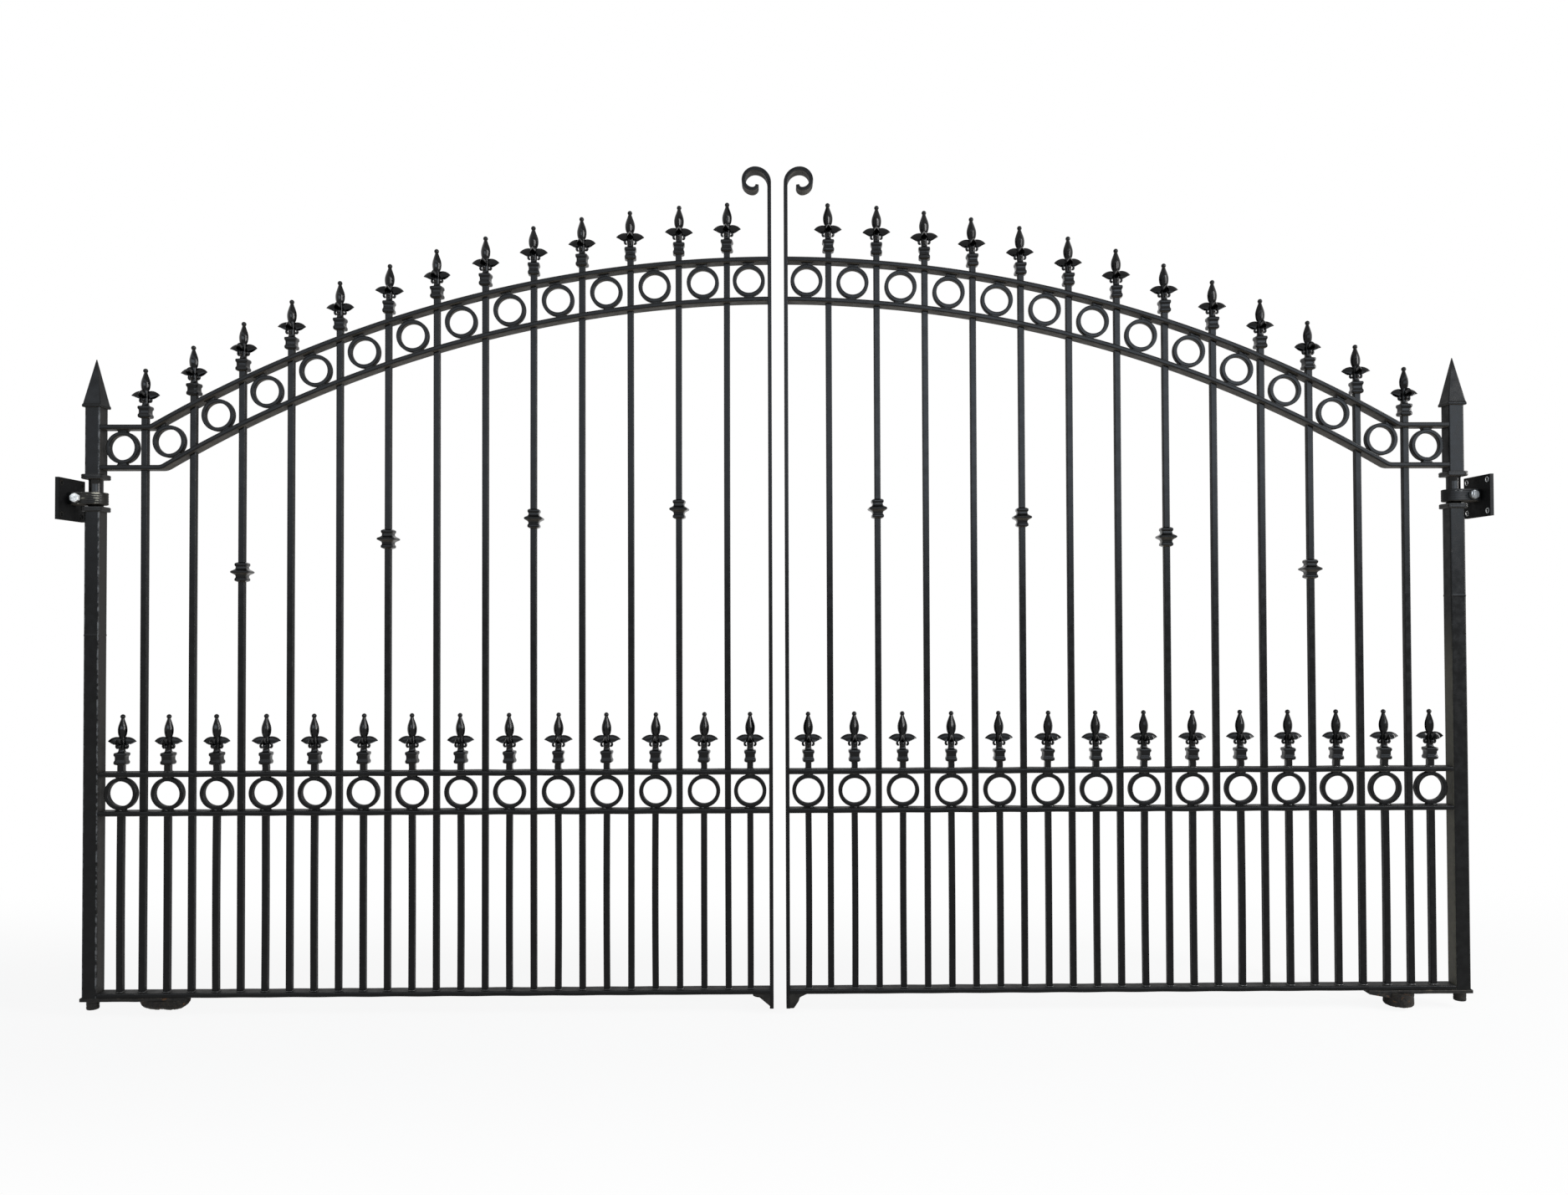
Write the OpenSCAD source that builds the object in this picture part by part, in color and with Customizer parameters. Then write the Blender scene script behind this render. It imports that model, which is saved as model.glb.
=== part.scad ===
// Pair of wrought iron driveway gates: two arched leaves with ring friezes, dog bars and cast
// railheads, each hung on a heel post that turns in a strap hinge bolted to a pillar.
// All sizes are millimetres. The leaves are drawn about the middle of the gate, then moved so
// that the origin is the middle of the left wall plate's outer face: +X runs to the right
// pillar, +Z is up and the front faces -Y.

/* [Leaf frame] */
// Clear gap between the two meeting stiles
meeting_gap = 38; // [26:1:60]
// Thickness of the flat bar of the meeting stile
stile_t = 9.5; // [8:0.5:14]
// Depth from front to back of every rail and stile
frame_d = 45; // [38:1:56]
// Thickness of the bottom rail and the two mid rails
rail_t = 12; // [8:1:16]
// Thickness of the two arched rails
arch_t = 12; // [6:0.5:16]
// Height of the bottom rail's underside above the drive
bottom_z = 60; // [50:1:110]
// Height of the arch's top above the drive, at the middle of the gate
apex_z = 2183; // [2100:1:2300]
// Outer radius of the upper arched rail
arch_r = 3610; // [3300:10:4200]
// Distance of the arched rail's bend from the middle of the last tall bar
kink_inset = 21.5; // [18:0.5:40]
// Inner radius of that bend
kink_r = 30; // [20:1:50]

/* [Bars] */
// Tall bars in each leaf
bar_count = 13; // [9:1:15]
// Side of the square bar
bar_w = 16; // [12:1:18]
// Clear height of the short dog bars
dog_len = 505; // [400:1:600]
// Bar showing between a rail and the railhead above it
stub_len = 20; // [15:1:40]

/* [Rings] */
// Outside diameter of a ring
ring_od = 92; // [80:1:104]
// Width of the ring's section seen from the front
ring_t = 9; // [7:0.5:14]
// Depth of the ring's section from front to back
ring_d = 22; // [10:1:30]
// Clear gap on each side of a ring between two tall bars
ring_side_gap = 16; // [8:0.5:24]
// Clear gap on each side of a ring in an end bay
ring_end_gap = 9.5; // [4:0.5:16]
// Height of the welded pads above and below a ring between the mid rails
mid_pad_h = 3.5; // [2:0.5:8]
// Height of the welded pads above and below a ring between the arched rails
arch_pad_h = 6; // [2:0.5:10]
// Width of a welded pad
pad_w = 38; // [24:1:50]

/* [Railheads and knops] */
// Height of a railhead
head_h = 146; // [120:1:165]
// Span across two opposite leaves of a railhead
head_span = 76; // [60:1:84]
// Side of the square collar at the foot of a railhead
collar_w = 34.5; // [28:0.5:40]
// Height of a knop
knop_h = 58; // [44:1:72]
// Side of the square flange of a knop
knop_w = 54; // [44:1:64]

/* [Meeting stile] */
// Height of the scroll's top above the arch's top
scroll_rise = 262; // [190:1:310]
// Width of the scroll
scroll_w = 84; // [70:1:96]
// Drop of the stile's foot below the bottom rail
foot_drop = 41; // [25:1:48]
// Width of the gusset beside the foot
foot_w = 50; // [26:1:60]

/* [Heel post] */
// Side of the square heel post
post_w = 45; // [40:1:60]
// Wall of the heel post
post_wall = 5; // [3:0.5:8]
// Diameter of the round neck that turns in the strap
neck_d = 38; // [30:1:40]
// Length of the neck between its two flanges
neck_len = 78; // [60:1:110]
// Side of the square flanges above and below the neck
flange_w = 58; // [52:1:70]
// Thickness of those flanges
flange_t = 15; // [8:1:20]
// Distance of the upper flange below the lower arched rail
flange_drop = 13; // [10:1:60]
// Height of the cap's underside above the upper arched rail
cap_rise = 51; // [25:1:120]
// Height of the pyramid cap
cap_h = 141; // [90:1:170]
// Side of the cap
cap_w = 55; // [51:1:64]

/* [Strap hinges] */
// Distance of the wall from the axis the leaf turns about
wall_gap = 79; // [76:1:120]
// Thickness of the strap
strap_t = 13; // [8:1:16]
// Height of the strap
strap_h = 35; // [26:1:42]
// Distance of the clamp bolt from the turning axis
bolt_reach = 40; // [38:1:44]
// Diameter of the clamp bolt
bolt_d = 16; // [12:1:18]
// Thickness of the wall plate
plate_t = 10; // [6:1:14]
// Width of the wall plate from front to back
plate_w = 130; // [110:1:170]
// Height of the wall plate
plate_h = 120; // [90:1:160]
// Diameter of the four fixing holes
plate_hole_d = 13; // [8:0.5:16]
// Distance of a fixing hole from the plate's edges
plate_edge = 15; // [12:1:20]

/* [Heel shoes] */
// Length of the shoe plate under the heel
shoe_len = 300; // [240:1:400]
// Width of the shoe plate
shoe_w = 48; // [40:1:70]
// Thickness of the shoe plate
shoe_t = 10; // [6:1:14]
// Diameter of the heel pivot
pivot_d = 34; // [24:1:40]
// Length of the heel pivot
pivot_len = 26; // [16:1:40]
// Diameter of the round drive boss under the right shoe
boss_d = 83; // [60:1:96]
// Height of the round drive boss
boss_h = 38; // [26:1:48]
// Length of the oblong drive boss under the left shoe
lump_len = 132; // [110:1:150]
// Width of the oblong drive boss
lump_w = 56; // [44:1:64]
// Height of the oblong drive boss
lump_h = 29; // [20:1:36]

/* [Hidden] */
$fn = 64;
// Steps along a long arch and round its bend
arch_steps = 60;
bend_steps = 8;
// How far a cutter runs past the faces it cuts
overrun = 2;
// Clearance round a bar in a punched hole and round a seated ring
seat_gap = 0.25;
// Clearance between the turning neck and its strap
neck_slip = 0.4;
// Clearance round the clamp bolt
bolt_slip = 0.5;
// Clearance between the lug and the strap's arms
lug_slip = 0.3;
// Room between the neck and the end of the lug
lug_room = 5;
// Room between the lower flange and the strap
strap_rise = 5.5;
// How far the shoe plate stands out past the heel post
shoe_proud = 3;
// How far the wall plate's middle is under the strap's middle
plate_drop = 3;

stile_in = meeting_gap / 2 + stile_t;
pitch = bar_w + ring_od + 2 * ring_side_gap;
end_bay = ring_od + 2 * ring_end_gap + bar_w / 2;
last = bar_count - 1;
post_in = stile_in + 2 * end_bay + last * pitch;
post_x = post_in + post_w / 2;
post_out = post_in + post_w;
wall_x = post_x + wall_gap;

mid_gap = ring_od + 2 * (mid_pad_h + seat_gap);
arch_gap = ring_od + 2 * (arch_pad_h + seat_gap);
bottom_top = bottom_z + rail_t;
mid_low = bottom_top + dog_len;
mid_up = mid_low + rail_t + mid_gap;
mid_top = mid_up + rail_t;
mid_ring_z = mid_low + rail_t + mid_gap / 2;

arch_z = apex_z - arch_r;
arch_low_r = arch_r - arch_t - arch_gap;
arch_ring_r = arch_r - arch_t - arch_gap / 2;
kink_x = stile_in + end_bay + last * pitch - kink_inset;
end_top = arch_z + sqrt(arch_r * arch_r - kink_x * kink_x);
end_low = end_top - arch_t - arch_gap;

neck_top = end_low - arch_t - flange_drop - flange_t;
neck_foot = neck_top - neck_len;
post_top = neck_foot - flange_t;
strap_z = neck_foot + strap_rise + strap_h / 2;
plate_z = strap_z - plate_drop;
cap_z = end_top + cap_rise;
upper_post_z = neck_top + flange_t;

neck_r = neck_d / 2;
strap_in = neck_r + neck_slip;
strap_out = strap_in + strap_t;
hex_share = 1.5;
bolt_head_h = bolt_d * 0.625;
bolt_nut_h = bolt_d * 0.8;
bolt_tail = bolt_d / 4;
arm_reach = bolt_reach + bolt_d * 0.875;

// Bars that carry a knop, counted from the meeting stile
knop_first = 1;
knop_step = 3;
// Height of a knop as a share of the clear bar, at the meeting stile and at the heel
knop_low_share = 0.5565;
knop_high_share = 0.585;

// Radii of the scroll's four quarter turns, as shares of its width
scroll_shares = [0.548, 0.452, 0.369, 0.214];
scroll_top = apex_z + scroll_rise;

// Collar of a railhead: half width as a share of its side, height as a share of the railhead
collar_shares = [[0.246, 0], [0.464, 0.018], [0.493, 0.03], [0.493, 0.08], [0.449, 0.091],
    [0.428, 0.1], [0.428, 0.172], [0.464, 0.182], [0.5, 0.196], [0.5, 0.236], [0.449, 0.252],
    [0.27, 0.262]];
// Curls and leaves: reach as a share of the span, height as a share of the railhead
leaf_shares = [[0.13, 0.322], [0.19, 0.318], [0.22, 0.345], [0.205, 0.375], [0.2, 0.388],
    [0.28, 0.396], [0.37, 0.42], [0.5, 0.466], [0.474, 0.49], [0.41, 0.517], [0.33, 0.54],
    [0.24, 0.55], [0.15, 0.546]];
// Round neck between collar and bud
collar_top_share = 0.25;
leaf_top_share = 0.57;
neck_share = 0.24;
// Bud: half width across its ridges as a share of the span, height as a share of the railhead
bud_shares = [[0.11, 0.545], [0.155, 0.59], [0.178, 0.65], [0.182, 0.705], [0.164, 0.765],
    [0.128, 0.825], [0.087, 0.874], [0.062, 0.916]];
ball_share = 0.0472;
// Plan of one leaf: where it starts and its half width, as shares of the span
petal_root_share = 0.03;
petal_half_share = 0.125;

// Knop: half width as a share of its side, height as a share of the knop
knop_shares = [[0.16, 0], [0.324, 0.09], [0.324, 0.19], [0.278, 0.24], [0.278, 0.33],
    [0.38, 0.4], [0.5, 0.47], [0.5, 0.53], [0.38, 0.6], [0.278, 0.67], [0.278, 0.76],
    [0.324, 0.81], [0.324, 0.91], [0.16, 1]];

// Foot under the stile, as cut on each leaf: shares of the gusset's width and of the foot's drop
left_foot_shares = [[0, 0], [1, 0], [0.98, 0.1], [0.84, 0.19], [0.74, 0.09], [0, 0.84]];
right_foot_shares = [[0, 0], [1, 0], [0.74, 0.1], [0.56, 0.26], [0.5, 0.5], [0.24, 1], [0, 1]];

// Cap: half width as a share of its side, height as a share of the cap
cap_shares = [[0.5, 0], [0.5, 0.05], [0.46, 0.08], [0.02, 1]];

function bar_x(i) = stile_in + end_bay + pitch * i;
function bay_x(k) = k == 0 ? (stile_in + bar_x(0) - bar_w / 2) / 2
    : k > last ? (bar_x(last) + bar_w / 2 + post_in) / 2
    : (bar_x(k - 1) + bar_x(k)) / 2;
function on_arc(r, x) = arch_z + sqrt(r * r - x * x);
function rail_top(x) = x > kink_x ? end_top : on_arc(arch_r, x);
function ring_z(x) = x > kink_x ? end_low + arch_gap / 2 : on_arc(arch_ring_r, x);
function ring_tilt(x) = x > kink_x ? 0 : asin(x / arch_ring_r);
function clear_top(x) = x > kink_x ? end_low - arch_t : on_arc(arch_low_r - arch_t, x);
function knop_z(x) = mid_top + (clear_top(x) - mid_top)
    * (knop_low_share + (knop_high_share - knop_low_share) * x / post_in);
function scaled(shares, w, h) = [for (s = shares) [s[0] * w, s[1] * h]];

// Moves the gate's middle to its place, and turns the right leaf into the left one
module right_side() translate([wall_x, 0, -plate_z]) children();
module left_side() right_side() mirror([1, 0, 0]) children();

// Turns an outline drawn in X and Z into a slab of the given depth about the gate's plane
module slab(d) rotate([90, 0, 0]) linear_extrude(height = d, center = true) children();

// Part of a ring about a point in the X and Z plane, from angle a0 for a sweep of da degrees
module arc_bar(x, z, r_out, t, d, a0, da)
    translate([x, 0, z]) rotate([90, 0, 0]) rotate([0, 0, a0])
        rotate_extrude(angle = da) translate([r_out - t, -d / 2]) square([t, d]);

// Box given by its limits in X and Z, deep about the gate's plane
module bar_box(x0, x1, z0, z1, d) translate([x0, -d / 2, z0]) cube([x1 - x0, d, z1 - z0]);

// Outline with square plan: the same side profile cut from the front and from the side
module square_turned(points, w) {
    outline = concat(points, [for (i = [len(points) - 1:-1:0]) [-points[i][0], points[i][1]]]);
    intersection() {
        slab(w + overrun) polygon(outline);
        rotate([0, 0, 90]) slab(w + overrun) polygon(outline);
    }
}

// Square cutters for every tall bar
module bar_cutters(z0, z1) {
    side = bar_w + 2 * seat_gap;
    for (i = [0:last]) bar_box(bar_x(i) - side / 2, bar_x(i) + side / 2, z0, z1, side);
}

// Flat bar bent to the arch, level from its bend to the heel post: the outline at one depth
// under its top face runs along the arch, round the bend and out to the post
function bend_x(r, end_z) = sqrt(pow(r + kink_r, 2) - pow(end_z + kink_r - arch_z, 2));
function bend_turn(r, end_z) = atan2(bend_x(r, end_z), end_z + kink_r - arch_z);
function arch_line(r, end_z, under) = let (
    turn = bend_turn(r, end_z),
    first = asin(stile_in / (r - under)),
    big = r - under,
    small = kink_r + under
) concat(
    [for (i = [0:arch_steps - 1]) let (a = first + (turn - first) * i / arch_steps)
        [big * sin(a), arch_z + big * cos(a)]],
    [for (i = [0:bend_steps]) let (a = turn * (1 - i / bend_steps))
        [bend_x(r, end_z) - small * sin(a), end_z + kink_r - small * cos(a)]],
    [[post_in, end_z - under]]);
module arch_flat(r, end_z) {
    top = arch_line(r, end_z, 0);
    under = arch_line(r, end_z, arch_t);
    slab(frame_d) polygon(concat(top, [for (i = [len(under) - 1:-1:0]) under[i]]));
}

module heel_post() color([0.12, 0.12, 0.13])
    translate([post_x, 0, bottom_z]) linear_extrude(height = post_top - bottom_z) difference() {
        square([post_w, post_w], center = true);
        square([post_w - 2 * post_wall, post_w - 2 * post_wall], center = true);
    }

module post_neck() color([0.16, 0.16, 0.17]) translate([post_x, 0, 0]) {
    translate([-flange_w / 2, -flange_w / 2, post_top]) cube([flange_w, flange_w, flange_t]);
    translate([0, 0, neck_foot]) cylinder(h = neck_len, d = neck_d);
    translate([-flange_w / 2, -flange_w / 2, neck_top]) cube([flange_w, flange_w, flange_t]);
}

module upper_post() color([0.12, 0.12, 0.13])
    translate([post_x, 0, upper_post_z]) linear_extrude(height = cap_z - upper_post_z) difference() {
        square([post_w, post_w], center = true);
        square([post_w - 2 * post_wall, post_w - 2 * post_wall], center = true);
    }

module post_cap() color([0.16, 0.16, 0.17])
    translate([post_x, 0, cap_z]) square_turned(scaled(cap_shares, cap_w, cap_h), cap_w);

module bottom_rail() color([0.12, 0.12, 0.13])
    bar_box(stile_in, post_in, bottom_z, bottom_top, frame_d);

module mid_rails() color([0.14, 0.14, 0.15]) difference() {
    union() {
        bar_box(stile_in, post_in, mid_low, mid_low + rail_t, frame_d);
        bar_box(stile_in, post_in, mid_up, mid_top, frame_d);
    }
    bar_cutters(mid_low - overrun, mid_top + overrun);
}

module upper_arch_rail() color([0.14, 0.14, 0.15]) difference() {
    arch_flat(arch_r, end_top);
    bar_cutters(mid_top, apex_z + overrun);
}

module lower_arch_rail() color([0.14, 0.14, 0.15]) difference() {
    arch_flat(arch_low_r, end_low);
    bar_cutters(mid_top, apex_z + overrun);
}

// Flat bar that runs past the arch and ends in a scroll of four shrinking quarter turns
module meeting_stile() color([0.12, 0.12, 0.13]) {
    r = scroll_w * scroll_shares;
    x0 = meeting_gap / 2;
    x1 = x0 + r[0];
    x2 = x1 + r[1] - r[2];
    z2 = scroll_top - r[1];
    z3 = z2 - r[2] + r[3];
    bar_box(x0, stile_in, bottom_z - foot_drop, scroll_top - r[0], frame_d);
    arc_bar(x1, scroll_top - r[0], r[0], stile_t, frame_d, 90, 90);
    arc_bar(x1, z2, r[1], stile_t, frame_d, 0, 90);
    arc_bar(x2, z2, r[2], stile_t, frame_d, -90, 90);
    arc_bar(x2, z3, r[3], stile_t, frame_d, 180, 90);
}

module tall_bars() color([0.1, 0.1, 0.11]) for (i = [0:last]) {
    x = bar_x(i);
    bar_box(x - bar_w / 2, x + bar_w / 2, bottom_top, rail_top(x) + stub_len, bar_w);
}

module dog_bars() color([0.1, 0.1, 0.11]) for (k = [0:bar_count])
    bar_box(bay_x(k) - bar_w / 2, bay_x(k) + bar_w / 2, bottom_top, mid_low, bar_w);

// One ring standing on edge between two rails, with a welded pad above and below it
module ring(pad_h) {
    foot = sqrt(pow(ring_od / 2, 2) - pow(pad_w / 2, 2)) - overrun / 2;
    rotate([90, 0, 0]) difference() {
        cylinder(h = ring_d, d = ring_od, center = true);
        cylinder(h = ring_d + overrun, d = ring_od - 2 * ring_t, center = true);
    }
    for (a = [0, 180]) rotate([0, a, 0])
        bar_box(-pad_w / 2, pad_w / 2, foot, ring_od / 2 + pad_h, ring_d);
}

module arch_rings() color([0.15, 0.15, 0.16]) for (k = [0:bar_count]) let (x = bay_x(k))
    translate([x, 0, ring_z(x)]) rotate([0, ring_tilt(x), 0]) ring(arch_pad_h);

module mid_rings() color([0.15, 0.15, 0.16]) for (k = [0:bar_count])
    translate([bay_x(k), 0, mid_ring_z]) ring(mid_pad_h);

// Plan of two opposite leaves: pointed lens shapes about a round core
module leaf_plan() {
    tip = head_span / 2 + seat_gap;
    root = head_span * petal_root_share;
    half = head_span * petal_half_share;
    mid = (tip + root) / 2;
    reach = (tip - root) / 2;
    r = (reach * reach + half * half) / (2 * half);
    for (a = [0, 180]) rotate(a) intersection() {
        translate([mid, half - r]) circle(r = r);
        translate([mid, r - half]) circle(r = r);
    }
}

// Two opposite leaves with the curls under them
module leaf_pair() {
    points = scaled(leaf_shares, head_span, head_h);
    intersection() {
        slab(head_span) polygon(concat(points,
            [for (i = [len(points) - 1:-1:0]) [-points[i][0], points[i][1]]]));
        linear_extrude(height = head_h) leaf_plan();
    }
}

// Cast railhead: square collar, neck, four spread leaves with curls under them, ridged bud, ball
module railhead() {
    square_turned(scaled(collar_shares, collar_w, head_h), collar_w);
    translate([0, 0, head_h * collar_top_share])
        cylinder(h = head_h * (leaf_top_share - collar_top_share), d = head_span * neck_share);
    for (a = [0, 90]) rotate([0, 0, a]) leaf_pair();
    rotate([0, 0, 45]) square_turned(scaled(bud_shares, head_span / sqrt(2), head_h), head_span);
    translate([0, 0, head_h * (1 - ball_share)]) sphere(r = head_h * ball_share);
}

module tall_finials() color([0.2, 0.2, 0.22]) for (i = [0:last])
    translate([bar_x(i), 0, rail_top(bar_x(i)) + stub_len]) railhead();

module dog_finials() color([0.2, 0.2, 0.22]) for (k = [0:bar_count]) translate([bay_x(k), 0, mid_top]) {
    bar_box(-bar_w / 2, bar_w / 2, 0, stub_len + seat_gap, bar_w);
    translate([0, 0, stub_len]) railhead();
}

// Cast knops threaded on every third bar
module bar_knops() color([0.2, 0.2, 0.22]) for (i = [knop_first:knop_step:last])
    translate([bar_x(i), 0, knop_z(bar_x(i)) - knop_h / 2]) difference() {
        square_turned(scaled(knop_shares, knop_w, knop_h), knop_w);
        bar_box(-bar_w / 2 - seat_gap, bar_w / 2 + seat_gap, -overrun, knop_h + overrun,
            bar_w + 2 * seat_gap);
    }

// Gusset beside the stile's foot, cut by hand on each leaf
module stop_foot(shares) color([0.15, 0.15, 0.16])
    translate([stile_in, 0, bottom_z]) slab(frame_d) polygon(scaled(shares, foot_w, -foot_drop));

module heel_shoe() color([0.18, 0.17, 0.16]) {
    bar_box(post_out + shoe_proud - shoe_len, post_out + shoe_proud, bottom_z - shoe_t, bottom_z, shoe_w);
    translate([post_x, 0, bottom_z - shoe_t - pivot_len]) cylinder(h = pivot_len, d = pivot_d);
}

// Round drive boss with a tapered nose, under the right shoe
module round_boss() color([0.22, 0.19, 0.17]) {
    under = bottom_z - shoe_t;
    nose = post_out + shoe_proud - shoe_len;
    mid = nose + shoe_len * 0.32;
    translate([mid, 0, under - boss_h]) cylinder(h = boss_h, d = boss_d);
    slab(shoe_w) polygon([[nose, under], [mid, under], [mid, under - boss_h / 3],
        [mid - boss_d / 2, under - boss_h / 3]]);
}

// Oblong drive boss with a smaller foot, under the left shoe
module oblong_boss() color([0.22, 0.2, 0.19]) {
    under = bottom_z - shoe_t;
    x0 = post_out + shoe_proud - shoe_len + lump_w / 2;
    x1 = x0 + lump_len - lump_w;
    foot = lump_h / 4;
    for (x = [x0, x1]) translate([x, 0, under - lump_h + foot]) cylinder(h = lump_h - foot, d = lump_w);
    bar_box(x0, x1, under - lump_h + foot, under, lump_w);
    translate([x1, 0, under - lump_h]) cylinder(h = lump_h / 2, d = lump_w * 0.7);
}

// Wall plate with four fixing holes and the lug the strap closes on
module hinge_bracket() color([0.17, 0.17, 0.18]) difference() {
    union() {
        translate([wall_x - plate_t, -plate_w / 2, plate_z - plate_h / 2])
            cube([plate_t, plate_w, plate_h]);
        bar_box(post_x + neck_r + lug_room, wall_x - plate_t, strap_z - strap_h / 2,
            strap_z + strap_h / 2, 2 * (strap_in - lug_slip));
    }
    for (y = [-1, 1], z = [-1, 1])
        translate([wall_x - plate_t - overrun, y * (plate_w / 2 - plate_edge),
            plate_z + z * (plate_h / 2 - plate_edge)])
            rotate([0, 90, 0]) cylinder(h = plate_t + 2 * overrun, d = plate_hole_d);
    translate([post_x + bolt_reach, 0, strap_z]) rotate([90, 0, 0])
        cylinder(h = 2 * strap_out, d = bolt_d + 2 * bolt_slip, center = true);
}

// Band bent round the neck, its two arms closed on the lug by the bolt
module hinge_strap() color([0.2, 0.19, 0.17]) translate([post_x, 0, strap_z]) difference() {
    translate([0, 0, -strap_h / 2]) linear_extrude(height = strap_h) difference() {
        union() {
            circle(r = strap_out);
            translate([0, -strap_out]) square([arm_reach, 2 * strap_out]);
        }
        circle(r = strap_in);
        translate([0, -strap_in]) square([arm_reach + overrun, 2 * strap_in]);
    }
    translate([bolt_reach, 0, 0]) rotate([90, 0, 0])
        cylinder(h = 2 * (strap_out + overrun), d = bolt_d + 2 * bolt_slip, center = true);
}

// Hexagon bolt with its head at the front and its nut at the back
module hinge_bolt() color([0.6, 0.6, 0.58])
    translate([post_x + bolt_reach, strap_out, strap_z]) rotate([90, 0, 0]) {
        across = bolt_d * hex_share / cos(30);
        translate([0, 0, -bolt_nut_h - bolt_tail])
            cylinder(h = 2 * strap_out + bolt_nut_h + bolt_tail + bolt_head_h / 2, d = bolt_d);
        translate([0, 0, 2 * strap_out]) cylinder(h = bolt_head_h, d = across, $fn = 6);
        translate([0, 0, -bolt_nut_h]) cylinder(h = bolt_nut_h, d = across, $fn = 6);
    }

left_side() hinge_bracket();  // left_hinge_bracket
left_side() hinge_strap();  // left_hinge_strap
left_side() hinge_bolt();  // left_hinge_bolt
right_side() hinge_bracket();  // right_hinge_bracket
right_side() hinge_strap();  // right_hinge_strap
right_side() hinge_bolt();  // right_hinge_bolt
left_side() heel_post();  // left_heel_post
left_side() post_neck();  // left_post_neck
left_side() upper_post();  // left_upper_post
left_side() post_cap();  // left_post_cap
left_side() bottom_rail();  // left_bottom_rail
left_side() mid_rails();  // left_mid_rails
left_side() upper_arch_rail();  // left_upper_arch_rail
left_side() lower_arch_rail();  // left_lower_arch_rail
left_side() meeting_stile();  // left_meeting_stile
left_side() tall_bars();  // left_tall_bars
left_side() dog_bars();  // left_dog_bars
left_side() arch_rings();  // left_arch_rings
left_side() mid_rings();  // left_mid_rings
left_side() tall_finials();  // left_tall_finials
left_side() dog_finials();  // left_dog_finials
left_side() bar_knops();  // left_bar_knops
left_side() stop_foot(left_foot_shares);  // left_stop_foot
left_side() heel_shoe();  // left_heel_shoe
left_side() oblong_boss();  // left_drive_boss
right_side() heel_post();  // right_heel_post
right_side() post_neck();  // right_post_neck
right_side() upper_post();  // right_upper_post
right_side() post_cap();  // right_post_cap
right_side() bottom_rail();  // right_bottom_rail
right_side() mid_rails();  // right_mid_rails
right_side() upper_arch_rail();  // right_upper_arch_rail
right_side() lower_arch_rail();  // right_lower_arch_rail
right_side() meeting_stile();  // right_meeting_stile
right_side() tall_bars();  // right_tall_bars
right_side() dog_bars();  // right_dog_bars
right_side() arch_rings();  // right_arch_rings
right_side() mid_rings();  // right_mid_rings
right_side() tall_finials();  // right_tall_finials
right_side() dog_finials();  // right_dog_finials
right_side() bar_knops();  // right_bar_knops
right_side() stop_foot(right_foot_shares);  // right_stop_foot
right_side() heel_shoe();  // right_heel_shoe
right_side() round_boss();  // right_drive_boss
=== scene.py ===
import math

import bpy
import numpy as np
from mathutils import Matrix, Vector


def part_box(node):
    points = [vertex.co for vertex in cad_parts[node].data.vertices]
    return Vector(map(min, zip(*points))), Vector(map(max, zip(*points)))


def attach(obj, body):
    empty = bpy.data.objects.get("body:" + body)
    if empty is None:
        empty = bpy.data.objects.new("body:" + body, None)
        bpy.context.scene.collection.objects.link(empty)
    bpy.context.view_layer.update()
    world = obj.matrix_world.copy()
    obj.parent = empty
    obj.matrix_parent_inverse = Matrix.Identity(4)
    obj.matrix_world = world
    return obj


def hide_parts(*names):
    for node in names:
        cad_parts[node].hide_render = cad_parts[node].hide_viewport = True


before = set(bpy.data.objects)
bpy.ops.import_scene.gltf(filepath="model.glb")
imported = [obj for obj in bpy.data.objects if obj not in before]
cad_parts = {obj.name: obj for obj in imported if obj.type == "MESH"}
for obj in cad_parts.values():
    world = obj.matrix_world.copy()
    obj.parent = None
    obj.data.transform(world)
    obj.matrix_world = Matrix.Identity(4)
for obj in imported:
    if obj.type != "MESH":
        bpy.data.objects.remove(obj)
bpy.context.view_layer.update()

scene = bpy.context.scene
scene.view_settings.view_transform = "Standard"
rng = np.random.default_rng(41)
print("frame loaded with", len(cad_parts), "nodes")

# Setting out of one leaf in millimetres from the middle of the gate, as on the drawing
gate = {
    "stileOut": 19.0, "stileT": 9.5, "bars": 13, "bar": 16.0, "depth": 45.0, "post": 45.0, "railT": 12.0,
    "archT": 12.0, "bottomZ": 60.0, "dogLen": 505.0, "apexZ": 2183.0, "archR": 3610.0, "bend": 30.0,
    "kinkInset": 21.5, "ringOd": 92.0, "ringGap": 16.0, "endGap": 9.5, "midPad": 3.75, "archPad": 6.25, "coat": 0.75,
}
stileIn = gate["stileOut"] + gate["stileT"]
barPitch = gate["bar"] + gate["ringOd"] + 2 * gate["ringGap"]
endBay = gate["ringOd"] + 2 * gate["endGap"] + gate["bar"] / 2
barX = stileIn + endBay + barPitch * np.arange(gate["bars"])
postIn = barX[-1] + endBay
postX = postIn + gate["post"] / 2
firstBay = (stileIn + barX[0] - gate["bar"] / 2) / 2
lastBay = (barX[-1] + gate["bar"] / 2 + postIn) / 2
bayX = np.concatenate([[firstBay], (barX[1:] + barX[:-1]) / 2, [lastBay]])
bottomTop = gate["bottomZ"] + gate["railT"]
midLow = bottomTop + gate["dogLen"]
midUp = midLow + gate["railT"] + gate["ringOd"] + 2 * gate["midPad"]
midTop = midUp + gate["railT"]
midRing = (midLow + midTop) / 2
archZ = gate["apexZ"] - gate["archR"]
archGap = gate["ringOd"] + 2 * gate["archPad"]
lowR = gate["archR"] - gate["archT"] - archGap
ringR = lowR + archGap / 2
kinkX = barX[-1] - gate["kinkInset"]
endTop = archZ + math.sqrt(gate["archR"] ** 2 - kinkX ** 2)
endLow = endTop - gate["archT"] - archGap
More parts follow.
